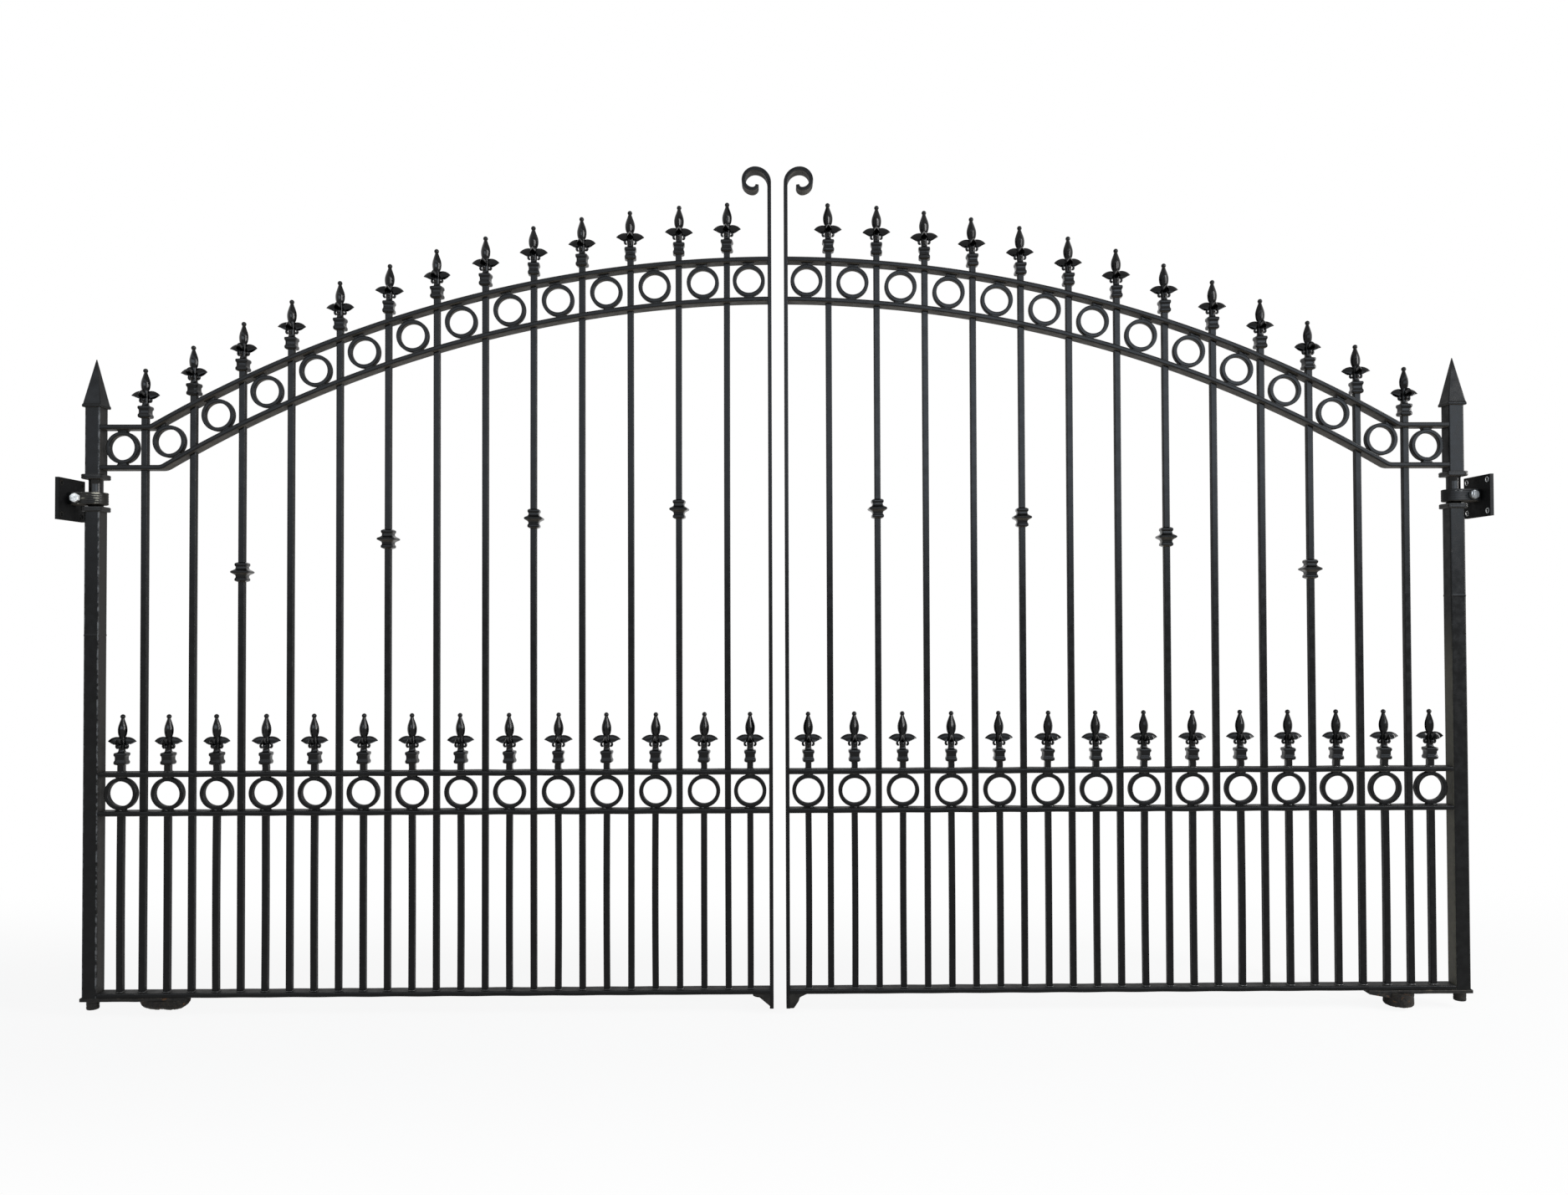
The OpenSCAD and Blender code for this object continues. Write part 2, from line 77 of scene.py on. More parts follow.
postLow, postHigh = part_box("right_heel_post")
origin = np.array([(postLow.x + postHigh.x) * 500 - postX, 0.0, postLow.z * 1000 - gate["bottomZ"]])


# Height of the upper arch's top, and of the ring centres, over a place along the leaf
def railTop(x):
    return np.where(x > kinkX, endTop, archZ + np.sqrt(gate["archR"] ** 2 - x ** 2))


def ringZ(x):
    return np.where(x > kinkX, endLow + archGap / 2, archZ + np.sqrt(ringR ** 2 - x ** 2))


# Places in the gate's middle plane, from distances along the leaf and heights
def inPlane(x, z):
    return np.stack([x, 0 * x, 0 * x + z], -1)


# Angles that share a full turn evenly
def turnSteps(count):
    return np.arange(count) * 2 * np.pi / count


# Quads between neighbouring rows and columns of a grid; the last column joins the first, and a closed grid's rows too
def gridFaces(rows, cols, closed=False):
    r, c = np.meshgrid(np.arange(rows if closed else rows - 1), np.arange(cols), indexing="ij")
    nextCol, nextRow = (c + 1) % cols, (r + 1) % rows
    quads = [r * cols + c, r * cols + nextCol, nextRow * cols + nextCol, nextRow * cols + c]
    return np.stack(quads, -1).reshape(-1, 4)


# Sum of the tetrahedra from the mean point to every face: negative when the faces point inwards
def outward(shape):
    points, quads, tris, edge = shape
    three = np.vstack([tris, quads[:, [0, 1, 2]], quads[:, [0, 2, 3]]])
    a, b, c = (points[three[:, i]] - points.mean(0) for i in range(3))
    if (np.cross(a, b) * c).sum() < 0:
        return points, quads[:, ::-1], tris[:, ::-1], edge
    return shape


# Skin over section loops stacked along a path, each end closed by a fan to the loop's mean point
def tube(rings, edge=0.0, closed=False):
    rows, cols = rings.shape[:2]
    points, quads = rings.reshape(-1, 3), gridFaces(rows, cols, closed)
    tris = np.zeros((0, 3), int)
    edge = np.broadcast_to(np.asarray(edge, float), (rows, cols)).reshape(-1)
    if not closed:
        i, n, last = np.arange(cols), rows * cols, (rows - 1) * cols
        j = (i + 1) % cols
        points = np.vstack([points, rings[0].mean(0), rings[-1].mean(0)])
        tris = np.vstack([np.stack([j, i, 0 * i + n], -1), np.stack([last + i, last + j, 0 * i + n + 1], -1)])
        edge = np.append(edge, [0.0, 0.0])
    return outward((points, quads, tris, edge))


def join(*shapes):
    base = np.cumsum([0] + [len(s[0]) for s in shapes[:-1]])
    return (np.vstack([s[0] for s in shapes]), np.vstack([s[1] + b for s, b in zip(shapes, base)]),
            np.vstack([s[2] + b for s, b in zip(shapes, base)]), np.concatenate([s[3] for s in shapes]))


# Copies of one shape, each turned by its own matrix and moved to its own place
def repeat(shape, places, turns=None):
    points, quads, tris, edge = shape
    places = np.asarray(places, float)
    count = len(places)
    if turns is None:
        spun = np.broadcast_to(points, (count,) + points.shape)
    else:
        spun = np.einsum("nij,pj->npi", turns, points)
    shift = (np.arange(count) * len(points))[:, None, None]
    return ((spun + places[:, None]).reshape(-1, 3), (quads + shift).reshape(-1, 4),
            (tris + shift).reshape(-1, 3), np.tile(edge, count))


# The left leaf is the right one mirrored, with every face turned round
def onSide(shape, sign):
    points, quads, tris, edge = shape
    return shape if sign > 0 else (points * (-1, 1, 1), quads[:, ::-1], tris[:, ::-1], edge)


# Small turns about the upright and small leans, as castings fitted by hand have
def handTurns(count, yaw, lean):
    a = np.radians(rng.uniform(-yaw, yaw, count))
    u, v = np.radians(rng.uniform(-lean, lean, (2, count)))
    one, nil = np.ones(count), np.zeros(count)
    turn = np.array([[np.cos(a), -np.sin(a), nil], [np.sin(a), np.cos(a), nil], [nil, nil, one]])
    tip = np.array([[one, nil, u], [nil, one, v], [-u, -v, one]])
    return np.einsum("ijn,jkn->nik", tip, turn)


# Rectangle with quarter circle corners, anticlockwise, a point beside each arc; edge is 1 on the arcs
def roundedLoop(w, d, r, steps=3):
    gap = 0.45 * min(w / 2 - r, d / 2 - r, 4.0)
    a = np.radians(np.linspace(0, 90, steps + 1))
    corner = np.vstack([[[r, -gap]], np.stack([r * np.cos(a), r * np.sin(a)], -1), [[-gap, r]]])
    mids = np.array([[1, 1], [-1, 1], [-1, -1], [1, -1]]) * (w / 2 - r, d / 2 - r)
    spins = np.array([[[1, 0], [0, 1]], [[0, -1], [1, 0]], [[-1, 0], [0, -1]], [[0, 1], [-1, 0]]])
    loop = np.einsum("kij,pj->kpi", spins, corner) + mids[:, None]
    edge = np.tile(np.concatenate([[0.0], np.ones(steps + 1), [0.0]]), 4)
    return loop.reshape(-1, 2), edge


# Left-hand normals of a flat path, from the way between each point's neighbours
def normals(path, closed=False):
    ahead = np.roll(path, -1, 0) - np.roll(path, 1, 0) if closed else np.gradient(path, axis=0)
    t = ahead / np.linalg.norm(ahead, axis=1, keepdims=True)
    return np.stack([-t[:, 1], t[:, 0]], -1)


# Section carried along a path in the gate's plane: across the path, then towards the viewer
def sweepFlat(path, loop, closed=False):
    loop = np.broadcast_to(loop, (len(path),) + np.shape(loop)[-2:])
    flat = path[:, None] + loop[..., :1] * normals(path, closed)[:, None]
    return np.stack([flat[..., 0], -loop[..., 1], flat[..., 1]], -1)


# Section carried along a path seen from above: across the path, then up
def sweepPlan(path, loop):
    flat = path[:, None] + loop[None, :, :1] * normals(path)[:, None]
    return np.concatenate([flat, np.broadcast_to(loop[None, :, 1:], flat.shape[:2] + (1,))], -1)


# Upright bar: one loop at each height, bowed sideways by half a sine
def upright(x, z, loop, bow=0.0, grow=0.0):
    z = np.asarray(z, float)
    lift = np.sin(np.pi * (z - z[0]) / (z[-1] - z[0]))
    size = 1 + np.broadcast_to(np.asarray(grow, float), z.shape)
    flat = loop[None] * size[:, None, None] + np.stack([x + bow * lift, 0 * z], -1)[:, None]
    return np.concatenate([flat, np.broadcast_to(z[:, None, None], flat.shape[:2] + (1,))], -1)


# Stack of superellipses: half width over the power mean of cosine and sine, at each row's height
def turned(rows, steps=32):
    w, z, p = np.asarray(rows, float).T[:, :, None]
    a = turnSteps(steps)
    radius = w / (np.abs(np.cos(a)) ** p + np.abs(np.sin(a)) ** p) ** (1 / p)
    return np.stack([radius * np.cos(a), radius * np.sin(a), np.broadcast_to(z, radius.shape)], -1)


# Smooth line through points: each span is the cubic that follows the chords of its neighbours
def through(points, count):
    p = np.asarray(points, float)
    p = np.vstack([2 * p[0] - p[1], p, 2 * p[-1] - p[-2]])
    u = np.linspace(0, len(p) - 3, count)
    k = np.minimum(u.astype(int), len(p) - 4)
    f = (u - k)[:, None]
    a, b, c, d = p[k], p[k + 1], p[k + 2], p[k + 3]
    return b + 0.5 * f * (c - a + f * (2 * a - 5 * b + 4 * c - d + f * (3 * (b - c) + d - a)))


# Lumps: a sum of sine waves in seeded directions, the shorter ones lower
def lumps(points, seed, length, height, waves=7):
    wave = np.random.default_rng(seed)
    way = wave.normal(size=(waves, 3))
    way *= (2 * np.pi / length * wave.uniform(0.6, 2.2, waves) / np.linalg.norm(way, axis=1))[:, None]
    sines = np.sin(points @ way.T + wave.uniform(0, 6.28, waves))
    return height * (sines / np.linspace(1, 2.2, waves)).sum(-1) / 3


def addObject(name, data):
    item = bpy.data.objects.new(name, data)
    scene.collection.objects.link(item)
    return item


def addPiece(name, shape, body, material, nodes, sharp=38):
    points, quads, tris, edge = shape
    mesh = bpy.data.meshes.new(name)
    mesh.vertices.add(len(points))
    mesh.vertices.foreach_set("co", ((points + origin) / 1000).astype(np.float32).ravel())
    corners = np.concatenate([quads.ravel(), tris.ravel()])
    starts = np.concatenate([np.arange(len(quads)) * 4, len(quads) * 4 + np.arange(len(tris)) * 3])
    mesh.loops.add(len(corners))
    mesh.loops.foreach_set("vertex_index", corners.astype(np.int32))
    mesh.polygons.add(len(starts))
    mesh.polygons.foreach_set("loop_start", starts.astype(np.int32))
    mesh.update(calc_edges=True)
    mesh.validate()
    mesh.shade_smooth()
    mesh.set_sharp_from_angle(angle=math.radians(sharp))
    mesh.attributes.new("edge", "FLOAT", "POINT").data.foreach_set("value", edge.astype(np.float32))
    mesh.materials.append(material)
    piece = addObject(name, mesh)
    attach(piece, body)
    if nodes:
        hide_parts(*nodes)


# Matrix with the given columns: rightward, upward, backward, and the place in millimetres on the drawing
def standing(right, up, back, place):
    place = (np.array(place, float) + origin) / 1000
    return Matrix(np.vstack([np.stack([right, up, back, place], -1), [0, 0, 0, 1]]).tolist())


# Camera, fitted to the straight edges of the photograph
shot = {"focal": 1424.25, "width": 1875, "sensor": 36.0, "at": (-17.4, -3450.5, 1139.6),
        "yaw": 0.544, "pitch": 0.945, "roll": -0.193}
yaw, pitch, roll = (math.radians(shot[k]) for k in ("yaw", "pitch", "roll"))
ahead = np.array([math.sin(yaw) * math.cos(pitch), math.cos(yaw) * math.cos(pitch), math.sin(pitch)])
level = np.array([math.cos(yaw), -math.sin(yaw), 0.0])
over = np.cross(level, ahead)
rightward = math.cos(roll) * level + math.sin(roll) * over
upward = math.cos(roll) * over - math.sin(roll) * level
camData = bpy.data.cameras.new("photoCamera")
camData.sensor_fit, camData.sensor_width = "HORIZONTAL", shot["sensor"]
camData.lens = shot["sensor"] * shot["focal"] / shot["width"]
camera = addObject("photoCamera", camData)
camera.matrix_world = standing(rightward, upward, -ahead, shot["at"])
scene.camera = camera
print("camera set")


# Node helpers: a socket is linked, anything else is set as the value
def put(tree, kind, inputs=None, **settings):
    node = tree.nodes.new(kind)
    for key, value in settings.items():
        setattr(node, key, value)
    for key, value in (inputs or {}).items():
        if isinstance(value, bpy.types.NodeSocket):
            tree.links.new(value, node.inputs[key])
        else:
            node.inputs[key].default_value = value
    return node


def calc(tree, operation, a, b=0.0, clamp=False):
    return put(tree, "ShaderNodeMath", {0: a, 1: b}, operation=operation, use_clamp=clamp).outputs[0]


def plus(tree, base, share, amount, clamp=False):
    return calc(tree, "ADD", base, calc(tree, "MULTIPLY", share, amount), clamp)


def spread(tree, value, low, high, start=0.0, end=1.0):
    limits = {0: value, 1: low, 2: high, 3: start, 4: end}
    return put(tree, "ShaderNodeMapRange", limits, interpolation_type="SMOOTHSTEP").outputs[0]


def blend(tree, share, a, b):
    return put(tree, "ShaderNodeMix", {0: share, 6: a, 7: b}, data_type="RGBA").outputs[2]


def noise(tree, coords, scale, detail=3.0, rough=0.55):
    inputs = {"Vector": coords, "Scale": scale, "Detail": detail, "Roughness": rough}
    return put(tree, "ShaderNodeTexNoise", inputs).outputs[0]


def split(tree, vector):
    return put(tree, "ShaderNodeSeparateXYZ", {0: vector}).outputs


def newGroup(name, ins, outs):
    tree = bpy.data.node_groups.new(name, "ShaderNodeTree")
    for label, value in ins.items():
        kind = "NodeSocketVector" if value is None else "NodeSocketFloat"
        socket = tree.interface.new_socket(name=label, in_out="INPUT", socket_type=kind)
        if value is not None:
            socket.default_value = value
    for label, kind in outs.items():
        tree.interface.new_socket(name=label, in_out="OUTPUT", socket_type=kind)
    return tree, tree.nodes.new("NodeGroupInput").outputs, tree.nodes.new("NodeGroupOutput")


def tone(r, g, b):
    return (r, g, b, 1.0)


# Upward share of the surface's direction: 1 on level tops, -1 on undersides
def upness(tree):
    return split(tree, put(tree, "ShaderNodeNewGeometry").outputs["Normal"])[2]


# Limits between which each mask rises or falls, and the width of the fade where the limit is an input
band = {"worn": (0.92, 1.12), "top": (0.35, 0.95), "under": (-0.85, -0.45), "depthwise": (0.25, 0.65),
        "cloud": (0.3, 0.7), "tint": (0.35, 0.65), "onFace": (0.0006, 0.0016), "rustFade": 0.1, "scrapeFade": 0.05}
falling = (1.0, 0.0)
maskOut = {"Mask": "NodeSocketFloat"}

# Paint rubbed thin on the rounded edges: edge and noise together pass a limit
edgeWear, got, out = newGroup("edgeWear", {"Coords": None, "Edge": 0.0, "Scale": 90.0, "Amount": 0.4}, maskOut)
patch = noise(edgeWear, got["Coords"], got["Scale"], detail=5.0, rough=0.65)
reach = calc(edgeWear, "ADD", calc(edgeWear, "MULTIPLY", got["Edge"], got["Amount"]), patch)
edgeWear.links.new(spread(edgeWear, reach, *band["worn"]), out.inputs["Mask"])

# Dust that settles on faces that look up, thinner where the noise is low
dustFall, got, out = newGroup("dustFall", {"Coords": None, "Scale": 30.0, "Amount": 0.4}, maskOut)
thick = spread(dustFall, noise(dustFall, got["Coords"], got["Scale"], detail=4.0), *band["cloud"])
settled = calc(dustFall, "MULTIPLY", spread(dustFall, upness(dustFall), *band["top"]), thick)
dustFall.links.new(calc(dustFall, "MULTIPLY", settled, got["Amount"]), out.inputs["Mask"])

# Painted light from the ground: a lighter brown laid in clouds on faces that look down
groundLightUnder, got, out = newGroup("groundLightUnder", {"Coords": None, "Scale": 30.0}, maskOut)
thick = spread(groundLightUnder, noise(groundLightUnder, got["Coords"], got["Scale"], detail=4.0), *band["cloud"], 0.55, 1.0)
below = spread(groundLightUnder, upness(groundLightUnder), *band["under"], *falling)
groundLightUnder.links.new(calc(groundLightUnder, "MULTIPLY", below, thick), out.inputs["Mask"])

# Skin of hand-brushed paint: fine orange peel over slower sags
paintSkin, got, out = newGroup("paintSkin", {"Coords": None, "Fine": 420.0, "Slow": 45.0},
                               {"Height": "NodeSocketFloat", "Cloud": "NodeSocketFloat"})
peel = noise(paintSkin, got["Coords"], got["Fine"], detail=2.0)
sag = noise(paintSkin, got["Coords"], got["Slow"], detail=3.0)
paintSkin.links.new(plus(paintSkin, sag, peel, 0.35), out.inputs["Height"])
paintSkin.links.new(sag, out.inputs["Cloud"])

# Rust that comes through in spots, in two browns
rustSpots, got, out = newGroup("rustSpots", {"Coords": None, "Scale": 60.0, "Limit": 0.62},
                               {"Mask": "NodeSocketFloat", "Color": "NodeSocketColor"})
spots = noise(rustSpots, got["Coords"], got["Scale"], detail=6.0, rough=0.7)
limit = calc(rustSpots, "ADD", got["Limit"], band["rustFade"])
rustSpots.links.new(spread(rustSpots, spots, got["Limit"], limit), out.inputs["Mask"])
grain = noise(rustSpots, got["Coords"], 300.0)
rustSpots.links.new(blend(rustSpots, grain, tone(0.035, 0.016, 0.008), tone(0.16, 0.075, 0.03)), out.inputs["Color"])

# Faces that run through the gate's depth, brushed thin and left dull: the normal's share along the depth is small
dullSides, got, out = newGroup("dullSides", {"Facing": None}, maskOut)
along = calc(dullSides, "ABSOLUTE", split(dullSides, got["Facing"])[1])
dullSides.links.new(spread(dullSides, along, *band["depthwise"], *falling), out.inputs["Mask"])

# Scrapes: the crests of noise, which the finish draws out along one direction
scrapeMarks, got, out = newGroup("scrapeMarks", {"Coords": None, "Scale": 60.0, "Limit": 0.66}, maskOut)
crest = calc(scrapeMarks, "ADD", got["Limit"], band["scrapeFade"])
waves = noise(scrapeMarks, got["Coords"], got["Scale"], detail=3.0, rough=0.6)
scrapeMarks.links.new(spread(scrapeMarks, waves, got["Limit"], crest), out.inputs["Mask"])


def use(tree, group, **inputs):
    return put(tree, "ShaderNodeGroup", inputs, node_tree=group).outputs


# One painted or bare iron finish: tone clouds, wear on edges, rust, scrapes, dust, painted light from the ground on
# undersides and painted light on a post's inner face over one another
def ironFinish(name, look):
    material = bpy.data.materials.new(name)
    material.use_nodes = True
    tree = material.node_tree
    shader = tree.nodes["Principled BSDF"]
    place = put(tree, "ShaderNodeTexCoord").outputs
    coords = place["Object"]
    edge = put(tree, "ShaderNodeAttribute", None, attribute_name="edge").outputs["Fac"]
    skin = use(tree, paintSkin, Coords=coords, Fine=look["fine"], Slow=look["slow"])
    color = blend(tree, spread(tree, skin["Cloud"], *band["tint"]), look["dark"], look["light"])
    rough = spread(tree, skin["Cloud"], *band["cloud"], *look["rough"])
    wear = use(tree, edgeWear, Coords=coords, Edge=edge, Scale=look["wearScale"], Amount=look["wear"])["Mask"]
    color = blend(tree, wear, color, look["under"])
    rough = plus(tree, rough, use(tree, dullSides, Facing=place["Normal"])["Mask"], look["dull"])
    rust = use(tree, rustSpots, Coords=coords, Scale=look["rustScale"], Limit=look["rust"])
    color = blend(tree, rust["Mask"], color, rust["Color"])
    rough = plus(tree, rough, rust["Mask"], look["rustDull"])
    drawn = put(tree, "ShaderNodeMapping", {"Vector": coords, "Scale": look["scrapeWay"]}).outputs[0]
    marks = use(tree, scrapeMarks, Coords=drawn, Scale=look["scrapeScale"], Limit=look["scrape"])["Mask"]
    color = blend(tree, marks, color, look["bare"])
    dust = use(tree, dustFall, Coords=coords, Scale=look["dustScale"], Amount=look["dust"])["Mask"]
    color = blend(tree, dust, color, look["dustTone"])
    # painted light from the ground on the undersides
    color = blend(tree, use(tree, groundLightUnder, Coords=coords)["Mask"], color, look["underLightTone"])
    rough = plus(tree, rough, dust, look["dustDull"], clamp=True)
    if look["innerFaceLight"]:
        # painted light on the post's inner face: a lighter tone that fades out towards a height on the drawing
        face, top, fade, shade = look["innerFaceLight"]
        x, _, z = split(tree, coords)
        offset = calc(tree, "ABSOLUTE", calc(tree, "SUBTRACT", x, (origin[0] + face) / 1000))
        near = spread(tree, offset, *band["onFace"], *falling)
        lower = spread(tree, z, (origin[2] + top - fade) / 1000, (origin[2] + top) / 1000, *falling)
        cloudy = spread(tree, skin["Cloud"], *band["cloud"], 0.6, 1.0)
        color = blend(tree, calc(tree, "MULTIPLY", calc(tree, "MULTIPLY", near, lower), cloudy), color, shade)
    relief = {"Height": skin["Height"], "Strength": look["bump"], "Distance": look["bumpDepth"]}
    tree.links.new(color, shader.inputs["Base Color"])
    tree.links.new(rough, shader.inputs["Roughness"])
    tree.links.new(calc(tree, "MULTIPLY", marks, look["bareMetal"]), shader.inputs["Metallic"])
    tree.links.new(put(tree, "ShaderNodeBump", relief).outputs[0], shader.inputs["Normal"])
    shader.inputs["Specular IOR Level"].default_value = look["specular"]
    return material


# Gloss black enamel as brushed on the whole gate
enamel = {
    "dark": tone(0.0012, 0.0013, 0.0014), "light": tone(0.0026, 0.0027, 0.0028), "rough": (0.18, 0.3),
    "specular": 0.155, "dull": 0.33, "fine": 260.0, "slow": 40.0, "bump": 0.045, "bumpDepth": 0.0012,
    "wear": 0.36, "wearScale": 60.0, "under": tone(0.022, 0.0215, 0.02), "underLightTone": tone(0.055, 0.047, 0.037),
    "rust": 0.76, "rustScale": 70.0, "rustDull": 0.35, "scrape": 0.8, "scrapeScale": 260.0,
    "scrapeWay": (1.0, 1.0, 0.12), "bare": tone(0.05, 0.05, 0.05), "bareMetal": 0.0,
    "dust": 0.16, "dustScale": 35.0, "dustTone": tone(0.05, 0.047, 0.042), "dustDull": 0.12, "innerFaceLight": None,
}
# Painted light on the posts' inner faces: where it lies and how far it fades
innerLightFace, innerLightFade = postIn + 0.8, 250.0
# Every finish, by what it changes in the enamel
changes = {
    "blackPaint": {},
    # left post: the rubbed edges are far lighter than elsewhere, a painted highlight along its corners over the real
    # wear
    "postPaintLeft": {"wear": 0.5, "under": tone(0.09, 0.09, 0.09),
                      "innerFaceLight": (-innerLightFace, 1900.0, innerLightFade, tone(0.02, 0.0185, 0.0165))},
    "postPaintRight": {"innerFaceLight": (innerLightFace, 1180.0, innerLightFade, tone(0.095, 0.088, 0.068))},
    "castPaint": {"rough": (0.1, 0.17), "fine": 900.0, "slow": 160.0, "bump": 0.05, "specular": 0.17,
                  "dull": 0.06, "dust": 0.03},
    "neckIron": {"dark": tone(0.003, 0.003, 0.003), "light": tone(0.007, 0.0066, 0.006), "rough": (0.1, 0.2),
                 "specular": 0.2, "scrape": 0.66, "scrapeScale": 220.0, "scrapeWay": (1.0, 1.0, 0.1),
                 "bare": tone(0.07, 0.063, 0.052), "bareMetal": 0.3},
    "plateBlack": {"light": tone(0.005, 0.005, 0.005), "rough": (0.36, 0.55), "bump": 0.15, "specular": 0.12,
                   "scrape": 0.72, "scrapeScale": 130.0, "scrapeWay": (1.0, 0.5, 1.0), "bare": tone(0.08, 0.08, 0.08)},
    "wornIron": {"dark": tone(0.005, 0.0048, 0.0046), "light": tone(0.014, 0.0125, 0.0105), "rough": (0.38, 0.6),
                 "wear": 0.42, "under": tone(0.06, 0.048, 0.036), "rust": 0.63, "rustScale": 55.0, "bump": 0.3},
    "rustyCasting": {"dark": tone(0.005, 0.0046, 0.0042), "light": tone(0.02, 0.0165, 0.013), "rough": (0.5, 0.8),
                     "fine": 500.0, "slow": 120.0, "rust": 0.58, "rustScale": 80.0, "bump": 0.7, "bumpDepth": 0.003},
    # left strap: the light brass rubbed colour makes the front patch a painted highlight, over real wear at the edges
    "strapLeft": {"dark": tone(0.006, 0.0057, 0.005), "light": tone(0.016, 0.015, 0.0125), "rough": (0.24, 0.38),
                  "wear": 0.4, "wearScale": 70.0, "under": tone(0.4, 0.375, 0.3), "scrape": 0.64,
                  "scrapeScale": 150.0, "scrapeWay": (0.16, 0.16, 1.0), "bare": tone(0.2, 0.185, 0.145), "bareMetal": 0.4},
    "strapRight": {"light": tone(0.0075, 0.0078, 0.0085), "rough": (0.26, 0.42), "scrape": 0.68,
                   "scrapeScale": 120.0, "scrapeWay": (0.4, 0.4, 1.0), "bare": tone(0.12, 0.12, 0.118), "bareMetal": 0.3},
    "zincBoltAndGlint": {"dark": tone(0.42, 0.42, 0.41), "light": tone(0.66, 0.66, 0.64), "rough": (0.28, 0.45), "wear": 0.2,
                 "under": tone(0.7, 0.7, 0.68), "scrape": 0.5, "scrapeScale": 200.0, "scrapeWay": (1.0, 1.0, 1.0),
                 "bare": tone(0.75, 0.75, 0.73), "bareMetal": 0.8, "rust": 0.74, "specular": 0.5},
    "dullBolt": {"dark": tone(0.04, 0.04, 0.04), "light": tone(0.15, 0.15, 0.147), "rough": (0.2, 0.34), "wear": 0.3,
                 "under": tone(0.3, 0.3, 0.293), "bareMetal": 0.6, "scrape": 0.57, "bare": tone(0.42, 0.42, 0.41),
                 "specular": 0.4},
    "weldPaint": {"light": tone(0.012, 0.0118, 0.011), "rough": (0.14, 0.24), "fine": 1200.0, "slow": 260.0,
                  "bump": 0.3, "specular": 0.5},
}
finish = {name: ironFinish(name, {**enamel, **change}) for name, change in changes.items()}
print("finishes made")

# Railhead in millimetres over the collar's foot: half width, height, squareness
railhead = {
    "collar": [(8.3, 0, 9), (13, 1.2, 9), (16.2, 3.2, 9), (17, 6, 9), (17, 9.5, 9), (16, 12, 9), (14.9, 13.5, 9),
               (14.6, 16, 9), (14.4, 19.5, 9), (14.6, 23, 9), (15.2, 25.5, 9), (16.6, 27, 9), (17.3, 29.5, 9),
               (17.3, 33, 9), (16.2, 35.3, 9), (12.5, 36.8, 6), (10, 37.8, 3.5), (9.2, 40, 2.6), (8.8, 44, 2.4),
               (9, 48, 2.4), (9.6, 52, 2.4), (9.6, 60, 2.4), (9, 70, 2.4), (8.5, 81, 2.4)],
    "leaf": [(5, 75.5), (11, 77.6), (18, 78.2), (26, 76.6), (33.6, 72.8), (39.6, 67.6)],
    "leafHalf": ((0, 0.2, 0.4, 0.6, 0.8, 1), (5, 8.5, 10, 8.8, 5, 0.7)),
    "leafDroop": ((0, 0.2, 0.4, 0.6, 0.8, 1), (11, 17, 20, 15, 7.5, 0.6)), "leafThick": (3.4, 1.2), "leafRows": 15,
    "curl": [(6, 65), (11, 62), (14.8, 57.5), (15.8, 52.5), (13.8, 49), (10.5, 49.8)],
    "curlHalf": 5.4, "curlThick": 3.3, "curlTaper": 0.3, "curlRows": 12,
    "bud": [(8.4, 79), (11.4, 84.5), (13.2, 91), (13.9, 98), (13.8, 104), (12.6, 111), (10.4, 118), (8.2, 124),
            (6.2, 129.5), (4.8, 134)],
    "budRows": 15, "ridge": 0.17, "ball": 6.9, "ballZ": 139.1, "yaw": 7.0, "lean": 1.2,
}


# Leaf or curl: oval sections along a line in the upright plane, the sides hanging down as a power of the cosine
def petal(line, half, thick, droop):
    line = through(line, len(half))
    t = np.gradient(line, axis=0)
    t /= np.linalg.norm(t, axis=1, keepdims=True)
    a = turnSteps(16)
    lift = thick[:, None] * np.sin(a)
    hang = droop[:, None] * np.abs(np.cos(a)) ** 1.4
    return np.stack([line[:, :1] - t[:, 1:] * lift, half[:, None] * np.cos(a),
                     line[:, 1:] + t[:, :1] * lift - hang], -1)


def makeRailhead():
    r = railhead
    body = tube(turned(r["collar"]))
    u = np.linspace(0, 1, r["leafRows"])
    leaf = tube(petal(r["leaf"], np.interp(u, *r["leafHalf"]), np.linspace(*r["leafThick"], r["leafRows"]),
                      np.interp(u, *r["leafDroop"])))
    v = np.linspace(0, 1, r["curlRows"])
    curl = tube(petal(r["curl"], r["curlHalf"] * (1 - r["curlTaper"] * v), r["curlThick"] + 0 * v, 0 * v))
    quarter = np.radians([0, 90, 180, 270])
    spins = np.array([[[math.cos(q), -math.sin(q), 0], [math.sin(q), math.cos(q), 0], [0, 0, 1]] for q in quarter])
    four = repeat(join(leaf, curl), np.zeros((4, 3)), spins)
    # bud: radius from its side line, drawn in between four ridges by a power of the sine of twice the angle
    a = turnSteps(32)
    side = through(r["bud"], r["budRows"])
    radius = side[:, :1] * (1 - r["ridge"] * np.abs(np.sin(2 * a)) ** 0.8)
    ridged = np.broadcast_to(np.abs(np.cos(2 * a)) ** 12, radius.shape)
    height = np.broadcast_to(side[:, 1:], radius.shape)
    bud = tube(np.stack([radius * np.cos(a), radius * np.sin(a), height], -1), ridged)
    down = np.radians(np.linspace(8, 172, 9))[::-1]
    knob = np.stack([r["ball"] * np.sin(down), r["ballZ"] + r["ball"] * np.cos(down), 0 * down + 2.0], -1)
    return join(body, four, bud, tube(turned(knob, 16)))


head = makeRailhead()

